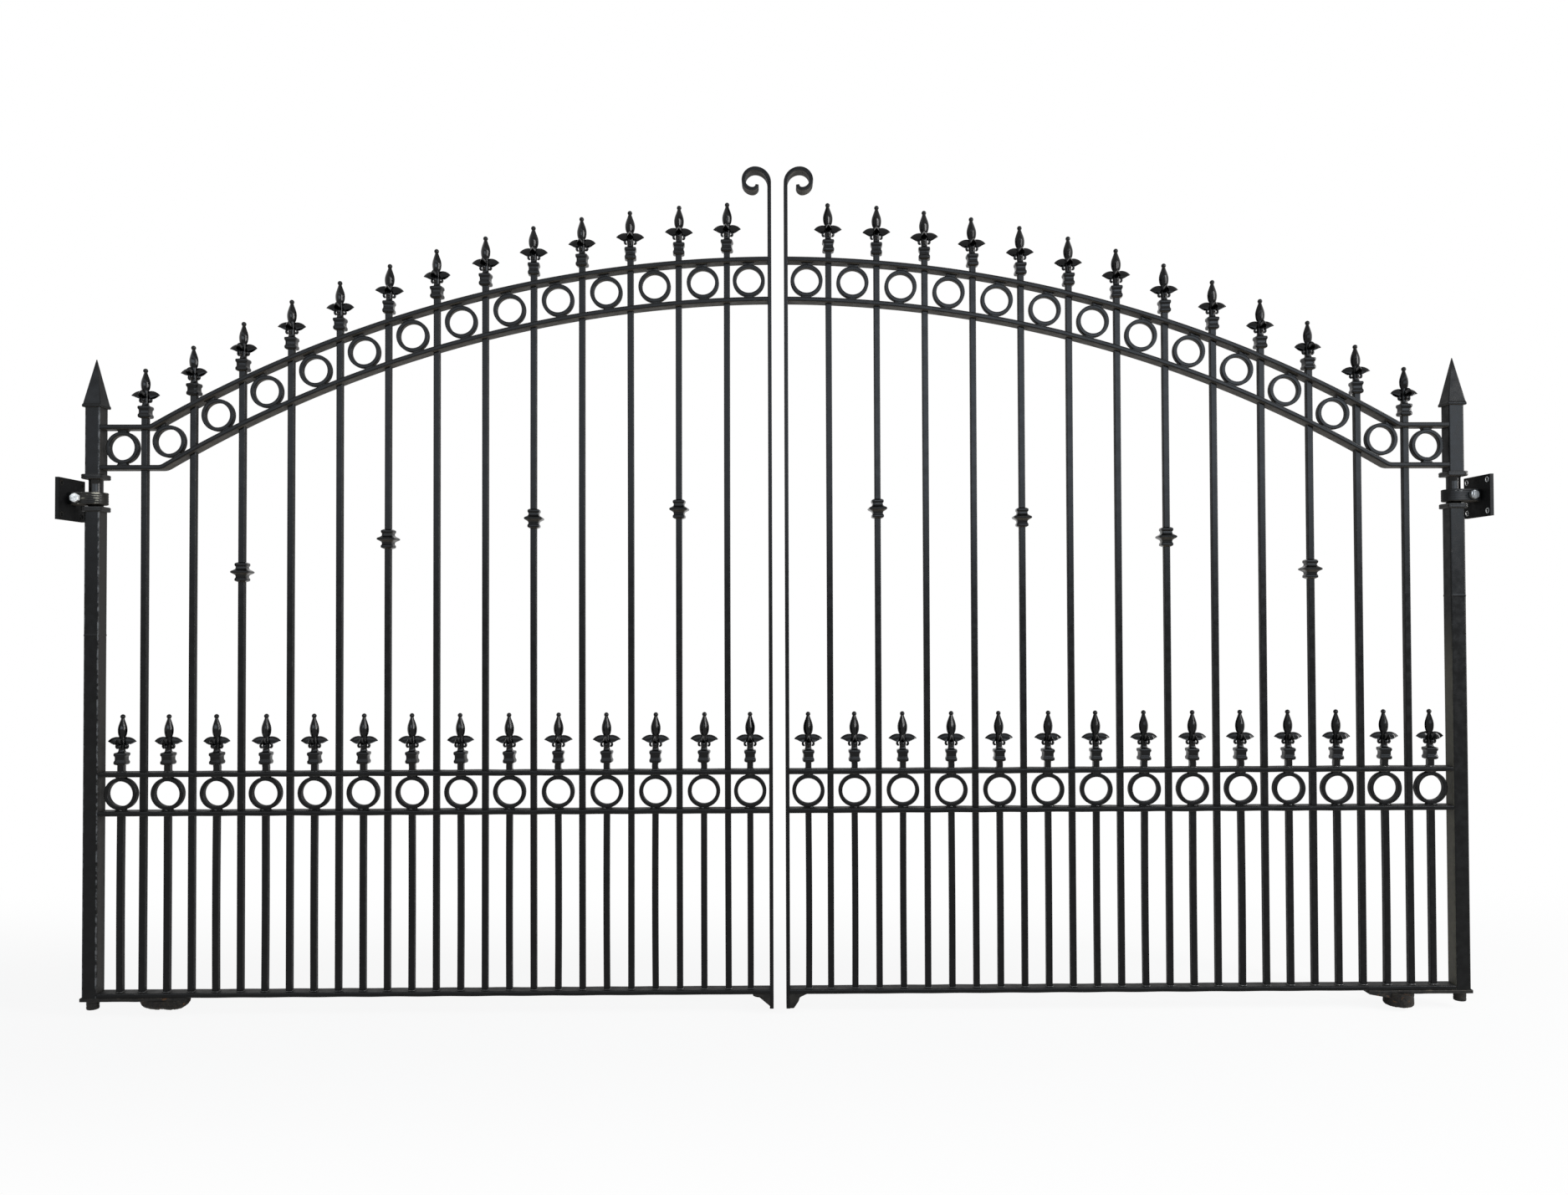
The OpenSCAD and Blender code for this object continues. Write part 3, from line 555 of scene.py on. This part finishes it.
# Knop on every third bar: half width, height over its middle, nearly square
knop = {"rows": [(8.6, -29), (13, -27.5), (17, -25), (17.5, -23), (17.5, -19.5), (16.5, -17.5), (15, -16),
                 (14.9, -12), (16, -9), (20, -6), (24.5, -3.6), (26.6, -1.6), (27, 0)],
        "square": 10, "bars": (1, 4, 7, 10), "shares": (0.5565, 0.585), "yaw": 4, "lean": 1}
knopRows = [(w, z, knop["square"]) for w, z in knop["rows"] + [(w, -z) for w, z in knop["rows"][-2::-1]]]
oneKnop = tube(turned(knopRows))
knopX = barX[list(knop["bars"])]
knopTop = archZ + np.sqrt((lowR - gate["archT"]) ** 2 - knopX ** 2)
knopZ = midTop + (knopTop - midTop) * np.interp(knopX, (0, postIn), knop["shares"])

# Ring of bent flat bar, with welded pads that fill the way to the rails and flare where they meet them
ring = {"thick": 9.6, "deep": 18.0, "round": 2.0, "steps": 64, "padFoot": 12.0, "padTop": 20.5, "sink": 4.0}


# Outline in the gate's plane carried through the depth, drawn in towards its middle at the faces
def slab(outline, middle, depth, rounding, rows=9, steps=60):
    corner = np.array(outline + outline[:1], float)
    length = np.concatenate([[0], np.cumsum(np.linalg.norm(np.diff(corner, axis=0), axis=1))])
    s = np.linspace(0, length[-1], steps + 1)[:-1]
    line = np.stack([np.interp(s, length, corner[:, 0]), np.interp(s, length, corner[:, 1])], -1) - middle
    a = np.linspace(-90, 90, rows)
    y = np.sin(np.radians(a)) * rounding + np.sign(a) * (depth / 2 - rounding)
    draw = 1 - rounding / np.linalg.norm(line, axis=1).max() * (1 - np.cos(np.radians(a)))
    flat = line * draw[:, None, None] + middle
    return tube(np.stack([flat[..., 0], np.broadcast_to(y[:, None], flat.shape[:2]), flat[..., 1]], -1))


def makeRing(pad):
    loop, edge = roundedLoop(ring["thick"] + 2 * gate["coat"], ring["deep"], ring["round"])
    a = turnSteps(ring["steps"])
    r = gate["ringOd"] / 2
    mid = r - ring["thick"] / 2
    hoop = tube(sweepFlat(np.stack([mid * np.cos(a), mid * np.sin(a)], -1), loop, closed=True), edge, closed=True)
    low, high, foot, top = r - ring["sink"], r + pad, ring["padFoot"], ring["padTop"]
    side = [(foot, low), (foot + 0.5, r - 1), (foot + 2.5, r + 0.45 * pad), (top - 2, high - 0.6), (top, high)]
    block = slab(side + [(-x, z) for x, z in side[::-1]], (0, (low + high) / 2), ring["deep"] - 1, 2.5)
    under = np.array([[[-1, 0, 0], [0, 1, 0], [0, 0, -1]]])
    return join(hoop, block, repeat(block, np.zeros((1, 3)), under))


midHoop, archHoop = makeRing(gate["midPad"]), makeRing(gate["archPad"])

# Bars and flats: corner radii, rows along each, and how far bars are out of true
stock = {"barRound": 1.9, "bow": 1.1, "stub": 20.0, "railRound": 3.4, "tallRows": 26, "dogRows": 10, "stubRows": 3,
         "railRows": 110, "archRows": (130, 12, 14)}


def makeBars(places, low, high, rows):
    side = gate["bar"] + 2 * gate["coat"]
    loop, edge = roundedLoop(side, side, stock["barRound"])
    bows = rng.uniform(-stock["bow"], stock["bow"], len(places))
    return join(*[tube(upright(x, np.linspace(low, top, rows), loop, b), edge) for x, top, b in zip(places, high, bows)])


# Level flat bar between stile and post, with the slight waves of a welded rail
def makeRail(low, wave):
    loop, edge = roundedLoop(gate["railT"] + 2 * gate["coat"], gate["depth"], stock["railRound"])
    x = np.linspace(stileIn, postIn, stock["railRows"])
    u = (x - x[0]) / (x[-1] - x[0])
    lift = wave * np.sin(np.pi * 2 * gate["bars"] * u) * np.sin(np.pi * u)
    return tube(sweepFlat(np.stack([x, low + gate["railT"] / 2 + lift], -1), loop), edge)


# Arched flat bar: circle about the arch's centre, a tight reverse bend, then level to the post
def makeArch(r, endZ):
    half, bend = gate["archT"] / 2, gate["bend"]
    rise, turnRows, flatRows = stock["archRows"]
    cz = endZ + bend
    cx = math.sqrt((r + bend) ** 2 - (cz - archZ) ** 2)
    turn = math.atan2(cx, cz - archZ)
    a = np.linspace(math.asin(stileIn / (r - half)), turn, rise)
    b = np.linspace(turn, 0, turnRows)[1:]
    x = np.linspace(cx, postIn, flatRows)[1:]
    path = np.vstack([np.stack([(r - half) * np.sin(a), archZ + (r - half) * np.cos(a)], -1),
                      np.stack([cx - (bend + half) * np.sin(b), cz - (bend + half) * np.cos(b)], -1),
                      np.stack([x, 0 * x + endZ - half], -1)])
    loop, edge = roundedLoop(gate["archT"] + 2 * gate["coat"], gate["depth"], stock["railRound"])
    return tube(sweepFlat(path, loop), edge)


# Meeting stile: upright flat bar, then quarter turns of shrinking radius, thinner towards the tip
stile = {"low": 19.0, "top": 2445.0, "radii": (46.0, 38.0, 31.0, 18.0), "tip": 0.85, "round": 1.8,
         "turns": ((180, 90), (90, 0), (0, -90), (-90, -175)), "rows": 90, "turnRows": 14, "thinRows": 24}


def makeStile():
    half, r = gate["stileT"] / 2, stile["radii"]
    z1 = stile["top"] - r[0]
    mids = [(gate["stileOut"] + r[0], z1), (gate["stileOut"] + r[0], stile["top"] - r[1])]
    mids += [(mids[1][0] + r[1] - r[2], mids[1][1]), (mids[1][0] + r[1] - r[2], mids[1][1] - r[2] + r[3])]
    low = stile["low"] + (z1 - stile["low"]) * (1 - (1 - np.linspace(0, 1, stile["rows"])) ** 1.4)
    path = [np.stack([0 * low + gate["stileOut"] + half, low], -1)]
    for (cx, cz), radius, (start, end) in zip(mids, r, stile["turns"]):
        a = np.radians(np.linspace(start, end, stile["turnRows"])[1:])
        path.append(np.stack([cx + (radius - half) * np.cos(a), cz + (radius - half) * np.sin(a)], -1))
    path = np.vstack(path)
    loop, edge = roundedLoop(gate["stileT"] + 2 * gate["coat"], gate["depth"], stile["round"])
    thin = np.ones(len(path))
    thin[-stile["thinRows"]:] = np.linspace(1, stile["tip"], stile["thinRows"])
    return tube(sweepFlat(path, loop[None] * np.stack([thin, 0 * thin + 1], -1)[:, None]), edge)


# Heel post in two lengths with a turned neck between flanges; a weld seam swells it by a bell curve
post = {"side": 43.6, "round": 4.2, "rows": 40, "neckLow": 1449.274, "neckHigh": 1557.274, "flange": 29.0, "neck": 19.0,
        "seam": {"left": 1094.0, "right": 1196.0}, "seamRise": 0.035, "seamWide": 2.2}


def makePost(low, high, seam=None):
    loop, edge = roundedLoop(post["side"], post["side"], post["round"], steps=4)
    z = np.linspace(low, high, post["rows"])
    if seam is None:
        return tube(upright(postX, z, loop), edge)
    z = np.sort(np.concatenate([z, seam + np.linspace(-5, 5, 9)]))
    return tube(upright(postX, z, loop, 0.0, post["seamRise"] * np.exp(-((z - seam) / post["seamWide"]) ** 2)), edge)


def makeNeck(steps=48):
    f, n, low, high = post["flange"], post["neck"], post["neckLow"], post["neckHigh"]
    plate = [(f - 5, 0, 9), (f - 1.6, 0.4, 12), (f - 0.3, 2.0, 14), (f, 4.0, 14), (f - 0.2, 7.0, 14), (f - 0.9, 7.6, 14),
             (f - 0.2, 8.2, 14), (f, 11.0, 14), (f - 0.3, 13.0, 14), (f - 1.6, 14.6, 12), (f - 4, 15.0, 8)]
    plateEdge = [0, 1, 1, 0, 0, 0, 0, 0, 1, 1, 0]
    shaft = [(n + 3, 15.1, 4), (n + 0.8, 16.0, 2.2), (n, 18.0, 2), (n, 30.0, 2), (n, 54.0, 2), (n, 78.0, 2),
             (n, 90.0, 2), (n + 0.8, 92.0, 2.2), (n + 3, 92.9, 4)]
    rows = plate + shaft + [(w, high - low - z, p) for w, z, p in plate[::-1]]
    edge = np.array(plateEdge + [0] * len(shaft) + plateEdge, float)[:, None]
    return repeat(tube(turned(rows, steps), np.repeat(edge, steps, 1)), [(postX, 0, low)])


# Pyramid cap on a moulded foot: share of the side, height over the foot
cap = {"z": 1749.774, "side": 55.0, "round": 2.2,
       "rows": [(0.955, 0), (0.985, 0.6), (1, 1.8), (1, 6.2), (0.985, 7.4), (0.965, 8.2), (0.92, 10.8), (0.475, 75.9),
                (0.03, 140.4), (0.012, 141.0)]}


def makeCap():
    scale, z = np.array(cap["rows"]).T
    loop, edge = roundedLoop(cap["side"], cap["side"], cap["round"])
    height = np.broadcast_to((z + cap["z"])[:, None, None], (len(z), len(loop), 1))
    return tube(np.concatenate([loop[None] * scale[:, None, None], height], -1) + (postX, 0, 0), edge)


# Wall hinge: band round the neck, clamp bolt
hinge = {"z": 1487.274, "radius": 25.9, "thick": 13.0, "high": 35.0, "arm": 53.0, "round": 2.6, "grooveGap": 6.7,
         # patch: strength of a painted highlight laid on the band's front, at the angle and width that follow
         "groove": {"left": 0.9, "right": 0.35}, "patch": {"left": 1.5, "right": 0.4}, "highlightAt": -120.0, "highlightWide": 34.0,
         "bolt": 40.0, "boltD": 16.0, "across": 24.0, "headH": 10.0, "nutH": 12.8, "tail": 4.0}


def makeStrap(side):
    # outer face cut by shallow grooves that follow a sine up the band
    loop, edge = roundedLoop(hinge["thick"], hinge["high"], hinge["round"])
    v = np.linspace(hinge["high"] / 2 - 4, -hinge["high"] / 2 + 4, 15)
    cut = hinge["groove"][side] * (0.5 - 0.5 * np.cos(v * 2 * np.pi / hinge["grooveGap"]))
    outer = np.stack([-hinge["thick"] / 2 + cut, v], -1)
    before, after = np.flatnonzero((loop[:, 0] < 1.5 - hinge["thick"] / 2) & (edge == 0))
    loop = np.vstack([loop[:before + 1], outer, loop[after:]])
    edge = np.concatenate([edge[:before + 1], np.zeros(len(v)), edge[after:]])
    a = np.radians(np.linspace(-90, -270, 40))
    arm = np.linspace(hinge["arm"], 0, 14)[:-1]
    r = hinge["radius"]
    path = np.vstack([np.stack([arm, 0 * arm - r], -1), np.stack([r * np.cos(a), r * np.sin(a)], -1),
                      np.stack([arm[::-1], 0 * arm + r], -1)])
    # painted highlight: the edge mask is raised where a bell curve of the angle peaks, banded by the grooves, over the
    # real wear at the rounded edges
    bell = np.exp(-((np.degrees(a) - hinge["highlightAt"]) / hinge["highlightWide"]) ** 2)
    around = np.concatenate([0 * arm, bell, 0 * arm])
    ridge = 0.35 + 0.65 * np.cos(loop[::-1, 1] * np.pi / hinge["grooveGap"]) ** 2
    wornAndLit = np.maximum(edge[::-1], hinge["patch"][side] * around[:, None] * ridge * (loop[::-1, 0] < 0))
    rings = sweepPlan(path, loop[::-1] * (-1, 1))
    return repeat(tube(rings, wornAndLit), [(postX, 0, hinge["z"])])


# Hexagon cut back by a cone: the radius is the smaller of flat over cosine and the row's limit
def makeBolt():
    face = hinge["radius"] + hinge["thick"] / 2
    a = turnSteps(48)
    flat = hinge["across"] / 2 / np.cos((a + math.pi / 6) % (math.pi / 3) - math.pi / 6)
    shank, h, n = hinge["boltD"] / 2, hinge["headH"], hinge["nutH"]
    front = [(5.0, h + 0.2), (9.6, h), (11.6, h - 0.3), (12.6, h - 1.1), (13.9, h - 2.6), (13.9, 1.6), (13.0, 0.5),
             (shank, 0)]
    behind = [(shank, 0), (13.0, 0.4), (13.9, 1.6), (13.9, n - 2), (12.4, n - 0.7), (11.0, n), (shank + 0.2, n + 0.1),
              (shank, n + 1.4), (shank - 0.4, n + 1.8), (shank, n + 2.4), (shank - 1, n + hinge["tail"])]
    rows = [(w, -face - d) for w, d in front] + [(w, face + d) for w, d in behind]
    limit, y = np.array(rows).T[:, :, None]
    radius = np.minimum(flat, limit)
    points = np.stack([radius * np.cos(a), np.broadcast_to(y, radius.shape), radius * np.sin(a)], -1)
    return repeat(tube(points), [(postX + hinge["bolt"], 0, hinge["z"])])


# Rim round each bolt hole: a flat oval cord swept round the hole's line; the right leaf's light zinc rims are painted
# glints
rim = {"face": 69.0, "y": 50.0, "drop": 3.0, "up": 45.0, "radius": 7.0, "wide": 1.0, "high": 0.9}


def makeRims():
    a, b = turnSteps(24)[:, None], turnSteps(8)
    r = rim["radius"] + rim["wide"] * np.cos(b)
    bead = np.stack([rim["high"] * np.sin(b) + 0 * a, r * np.cos(a), r * np.sin(a)], -1)
    middle = hinge["z"] - rim["drop"]
    holes = [(postX + rim["face"], y, middle + z) for y in (-rim["y"], rim["y"]) for z in (-rim["up"], rim["up"])]
    return repeat(tube(bead, closed=True), holes)


# Shoe plate with the heel pivot under it
shoe = {"x": (1694.5, 1994.5), "mid": 55.0, "thick": 10.0, "wide": 48.0, "round": 1.8, "rows": 60, "pivot": 17.0,
        "pivotLow": 24.0, "seat": 50.5}


def makeShoe():
    loop, edge = roundedLoop(shoe["thick"], shoe["wide"], shoe["round"])
    x = np.linspace(*shoe["x"], shoe["rows"])
    plate = sweepFlat(np.stack([x, 0 * x + shoe["mid"]], -1), loop)
    plate[:, :, 2] += lumps(plate, seed=5, length=60.0, height=0.5)
    p, low = shoe["pivot"], shoe["pivotLow"]
    rows = [(p - 4, low), (p - 1.2, low + 0.6), (p, low + 2.4), (p, low + 9), (p - 0.8, low + 10), (p - 0.8, low + 11.4),
            (p, low + 12.4), (p, shoe["seat"])]
    return join(tube(plate, edge), repeat(tube(turned([(w, z, 2) for w, z in rows])), [(postX, 0, 0)]))


# Drive lugs left under the shoes: half ovals along the leaf on the left, a round boss and wedge on the right
lug = {
    "top": 50.3,
    "left": {"x": (1695.0, 1828.0), "half": 27.0, "low": 21.5, "rows": 54, "steps": 26,
             "drop": ((0, 0.05, 0.16, 0.36, 0.5, 0.62, 0.82, 0.95, 1), (0.34, 0.62, 0.92, 1, 0.9, 0.97, 0.86, 0.6, 0.28)),
             "width": ((0, 0.1, 0.3, 0.7, 0.92, 1), (0.45, 0.8, 1, 1, 0.85, 0.5))},
    "right": {"x": 1790.5, "radius": 41.0, "z": [50.3, 49, 45, 40, 34, 28, 22, 17.5, 14.5, 12.9, 12.5, 12.5],
              "shares": [0.94, 1, 1, 0.985, 1, 0.99, 1, 0.985, 0.94, 0.86, 0.7, 0.3],
              "wedge": (1696.0, 1770.0), "wedgeDrop": (1.5, 15.0), "wedgeTop": 50.2, "wedgeWide": 46.0, "wedgeRows": 24},
}


def makeLeftLug():
    spec, top = lug["left"], lug["top"]
    u = np.linspace(0, 1, spec["rows"])
    x = np.interp(u, (0, 1), spec["x"])
    drop = (top - spec["low"]) * np.interp(u, *spec["drop"])
    half = spec["half"] * np.interp(u, *spec["width"])
    a = np.radians(np.linspace(180, 360, spec["steps"]))
    across = half[:, None] * np.sign(np.cos(a)) * np.abs(np.cos(a)) ** 0.7
    loop = np.stack([np.broadcast_to(x[:, None], across.shape), across,
                     top - drop[:, None] * np.abs(np.sin(a)) ** 0.6], -1)
    rough = lumps(loop, seed=11, length=16.0, height=2.4)
    loop[:, :, 1] *= 1 + rough / 40
    loop[:, :, 2] = np.minimum(top, loop[:, :, 2] + np.abs(rough) * (loop[:, :, 2] < 48))
    return tube(loop)


def makeRightLug():
    spec = lug["right"]
    z = np.array(spec["z"])
    boss = turned(np.stack([spec["radius"] * np.array(spec["shares"]), z, 0 * z + 2], -1), 56)
    swell = 1 + lumps(boss, seed=23, length=22.0, height=0.022)
    boss[:, :, :2] *= np.minimum(swell, 1.02)[..., None]
    pits = np.abs(lumps(boss, seed=29, length=14.0, height=1.8))
    boss[:, :, 2] += np.where(boss[:, :, 2] < 30, pits, 0)
    u = np.linspace(*spec["wedge"], spec["wedgeRows"])
    drop = np.interp(u, spec["wedge"], spec["wedgeDrop"])
    loop, _ = roundedLoop(1.0, spec["wedgeWide"], 0.3)
    size = (len(u), len(loop))
    wedge = np.stack([np.broadcast_to(u[:, None], size), np.broadcast_to(-loop[:, 1], size),
                      spec["wedgeTop"] - drop[:, None] * (0.5 - loop[:, 0])], -1)
    return join(repeat(tube(boss), [(spec["x"], 0, 0)]), tube(wedge))


# Foot under the stile as cut on each leaf: outline in the gate's plane
foot = {"left": [(28.0, 60.2), (28.0, 25.0), (65.5, 56.3), (70.5, 52.2), (77.5, 55.9), (78.5, 60.2)],
        "right": [(28.0, 60.2), (28.0, 19.2), (38.5, 19.2), (41.5, 21.5), (53.5, 39.5), (56.5, 49.3), (65.5, 55.9),
                  (78.5, 60.2)],
        "middle": (38.0, 52.0), "round": 2.4}


def makeFoot(side):
    return slab(foot[side], foot["middle"], gate["depth"] - 1, foot["round"])


# Weld beads: a lumpy round cord laid along a closed line round a bar's foot, and blobs pressed on the rings' contacts
weld = {"cord": 2.3, "blob": (5.5, 2.6, 2.4), "clear": 1.6, "footLift": 0.6, "stubLift": 0.8, "inset": 0.8,
        "stray": (-2, 9), "low": 2.2, "high": 1.5}


def makeBead():
    side = gate["bar"] + weld["clear"]
    loop, _ = roundedLoop(side, side, 2.5, steps=4)
    a = turnSteps(8)
    r = weld["cord"] * (1 + 0.22 * np.sin(np.arange(len(loop)) * 2.4))[:, None]
    flat = loop[:, None] - (r * np.cos(a))[..., None] * normals(loop, closed=True)[:, None]
    return tube(np.concatenate([flat, (r * np.sin(a) * 0.9)[..., None]], -1), closed=True)


def makeBlob():
    down = np.radians(np.linspace(6, 174, 7))[::-1]
    ball = turned(np.stack([np.sin(down), np.cos(down), 0 * down + 2], -1), 12) * weld["blob"]
    return tube(ball * (1 + lumps(ball, seed=7, length=7.0, height=0.2))[..., None])


# Beads at the feet of all bars and of the railheads' stubs, blobs on both faces of the mid rings
def makeWelds():
    feet = np.concatenate([barX, bayX])
    beads = repeat(makeBead(), np.vstack([inPlane(feet, bottomTop + weld["footLift"]),
                                          inPlane(bayX, midTop + weld["stubLift"])]))
    heights = (midLow + gate["railT"] + weld["low"], midUp - weld["high"])
    y = weld["inset"] - ring["deep"] / 2
    contacts = np.concatenate([inPlane(bayX + rng.uniform(*weld["stray"], len(bayX)), z) for z in heights]) + (0, y, 0)
    blob = makeBlob()
    return join(beads, repeat(blob, contacts), repeat(blob, contacts * (1, -1, 1)))


print("shapes ready")

# the right leaf's hole rims in light zinc are painted glints at the bolt holes
bolts, rims = {"left": "zincBoltAndGlint", "right": "dullBolt"}, {"left": "wornIron", "right": "zincBoltAndGlint"}
for side, sign in (("left", -1), ("right", 1)):
    leaf, bracket = side + "_leaf", side + "_hinge_bracket"

    def dress(name, shape, paint="blackPaint", sharp=38, body=leaf):
        whole = side + "_" + name
        addPiece(whole + "_skin", onSide(shape, sign), body, finish[paint], [whole], sharp)

    def trim(name, shape, paint, body):
        addPiece(side + "_" + name, onSide(shape, sign), body, finish[paint], [], 60)

    postPaint = "postPaint" + side.title()
    dress("heel_post", makePost(gate["bottomZ"], post["neckLow"], post["seam"][side]), postPaint)
    dress("post_neck", makeNeck(), "neckIron")
    dress("upper_post", makePost(post["neckHigh"], cap["z"]), postPaint)
    dress("post_cap", makeCap(), sharp=30)
    dress("bottom_rail", makeRail(gate["bottomZ"], 0.5))
    dress("mid_rails", join(makeRail(midLow, 0.6), makeRail(midUp, -0.6)))
    dress("upper_arch_rail", makeArch(gate["archR"], endTop))
    dress("lower_arch_rail", makeArch(lowR, endLow))
    dress("meeting_stile", makeStile())
    stubTop = railTop(barX) + stock["stub"]
    dress("tall_bars", makeBars(barX, bottomTop, stubTop, stock["tallRows"]))
    dress("dog_bars", makeBars(bayX, bottomTop, 0 * bayX + midLow, stock["dogRows"]))
    lean = np.where(bayX > kinkX, 0, np.arcsin(bayX / ringR))
    tilts = np.array([[[math.cos(t), 0, math.sin(t)], [0, 1, 0], [-math.sin(t), 0, math.cos(t)]] for t in lean])
    dress("arch_rings", repeat(archHoop, inPlane(bayX, ringZ(bayX)), tilts))
    dress("mid_rings", repeat(midHoop, inPlane(bayX, midRing)))
    turns = handTurns(len(barX), railhead["yaw"], railhead["lean"])
    dress("tall_finials", repeat(head, inPlane(barX, stubTop), turns), "castPaint")
    dogTop = midTop + stock["stub"]
    stubs = makeBars(bayX, midTop, 0 * bayX + dogTop + 1, stock["stubRows"])
    turns = handTurns(len(bayX), railhead["yaw"], railhead["lean"])
    dress("dog_finials", join(stubs, repeat(head, inPlane(bayX, dogTop), turns)), "castPaint")
    turns = handTurns(len(knopX), knop["yaw"], knop["lean"])
    dress("bar_knops", repeat(oneKnop, inPlane(knopX, knopZ), turns), "castPaint")
    dress("stop_foot", makeFoot(side), "wornIron")
    dress("heel_shoe", makeShoe(), "wornIron")
    dress("drive_boss", makeLeftLug() if side == "left" else makeRightLug(), "rustyCasting", 50)
    trim("weld_beads", makeWelds(), "weldPaint", leaf)
    dress("hinge_strap", makeStrap(side), "strap" + side.title(), body="wall_brackets")
    dress("hinge_bolt", makeBolt(), bolts[side], 25, "wall_brackets")
    trim("hole_rims", makeRims(), rims[side], "wall_brackets")
    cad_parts[bracket].data.materials.clear()
    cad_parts[bracket].data.materials.append(finish["plateBlack"])
    print(side, "leaf dressed")


# Share of rays that see the white background: from the camera, in gloss and through glass
def seesWhite(tree):
    rays = put(tree, "ShaderNodeLightPath").outputs
    direct = calc(tree, "MAXIMUM", rays["Is Camera Ray"], rays["Is Transmission Ray"])
    return calc(tree, "MAXIMUM", direct, rays["Is Glossy Ray"])


# Floor: white where it is seen, and fading to plain white away from the gate and its shadow
ground = {"lift": 2.0, "x": (-40, 44), "y": (-40, 60), "tone": tone(0.72, 0.71, 0.69), "fade": (0.2, 1.6),
          "share": (0.9, 1.0)}
white = tone(1, 1, 1)
floorZ = (origin[2] + ground["lift"]) / 1000
(x0, x1), (y0, y1) = ground["x"], ground["y"]
mesh = bpy.data.meshes.new("floor")
mesh.from_pydata([(x0, y0, floorZ), (x1, y0, floorZ), (x1, y1, floorZ), (x0, y1, floorZ)], [], [(0, 1, 2, 3)])
floor = addObject("floor", mesh)
pale = bpy.data.materials.new("paleFloor")
pale.use_nodes = True
tree = pale.node_tree
tree.nodes.clear()
away = calc(tree, "ABSOLUTE", split(tree, put(tree, "ShaderNodeTexCoord").outputs["Object"])[1])
share = calc(tree, "MULTIPLY", seesWhite(tree), spread(tree, away, *ground["fade"], *ground["share"]))
lit = put(tree, "ShaderNodeBsdfDiffuse", {"Color": ground["tone"]}).outputs[0]
glow = put(tree, "ShaderNodeEmission", {"Color": white, "Strength": 1.0}).outputs[0]
put(tree, "ShaderNodeOutputMaterial", {0: put(tree, "ShaderNodeMixShader", {0: share, 1: lit, 2: glow}).outputs[0]})
mesh.materials.append(pale)

# World: white where it is seen, and a plain grey fill for all other light
fill = tone(0.2, 0.205, 0.21)
world = bpy.data.worlds.new("whiteStudio")
scene.world = world
world.use_nodes = True
tree = world.node_tree
tree.nodes.clear()
backdrop = {"Color": blend(tree, seesWhite(tree), fill, white), "Strength": 1.0}
put(tree, "ShaderNodeOutputWorld", {0: put(tree, "ShaderNodeBackground", backdrop).outputs[0]})

# Soft lamps: place and aim in millimetres on the drawing, width and height in metres, brightness of the panel, colour
cool, plain = (0.86, 0.98, 1.12), (1.0, 1.0, 1.0)
lamps = {
    "panelLeft": ((-3000, -7000, 3150), (-3000, 0, 3150), 6.2, 2.7, 2.1, cool),
    "panelRight": ((3600, -7000, 3150), (3600, 0, 3150), 6.4, 2.7, 4.4, cool),
    "stripSide": ((5600, -2900, 2900), (-400, 0, 1800), 0.8, 4.4, 27.0, plain),
    "stripRight": ((6300, -1300, 3000), (0, 0, 1700), 0.9, 3.4, 12.0, plain),
    "skyFront": ((0, -3800, 5000), (0, 0, 1200), 11.0, 1.3, 1.7, cool),
}
for name, (place, aim, wide, tall, bright, hue) in lamps.items():
    data = bpy.data.lights.new(name, "AREA")
    data.shape, data.size, data.size_y = "RECTANGLE", wide, tall
    data.energy, data.color = math.pi * wide * tall * bright, hue
    lamp = addObject(name, data)
    back = np.array(place, float) - np.array(aim, float)
    back /= np.linalg.norm(back)
    across = np.cross((0, 0, 1), back)
    across /= np.linalg.norm(across)
    lamp.matrix_world = standing(across, np.cross(back, across), back, place)
    lamp.visible_camera = False
print("stage and lamps set")
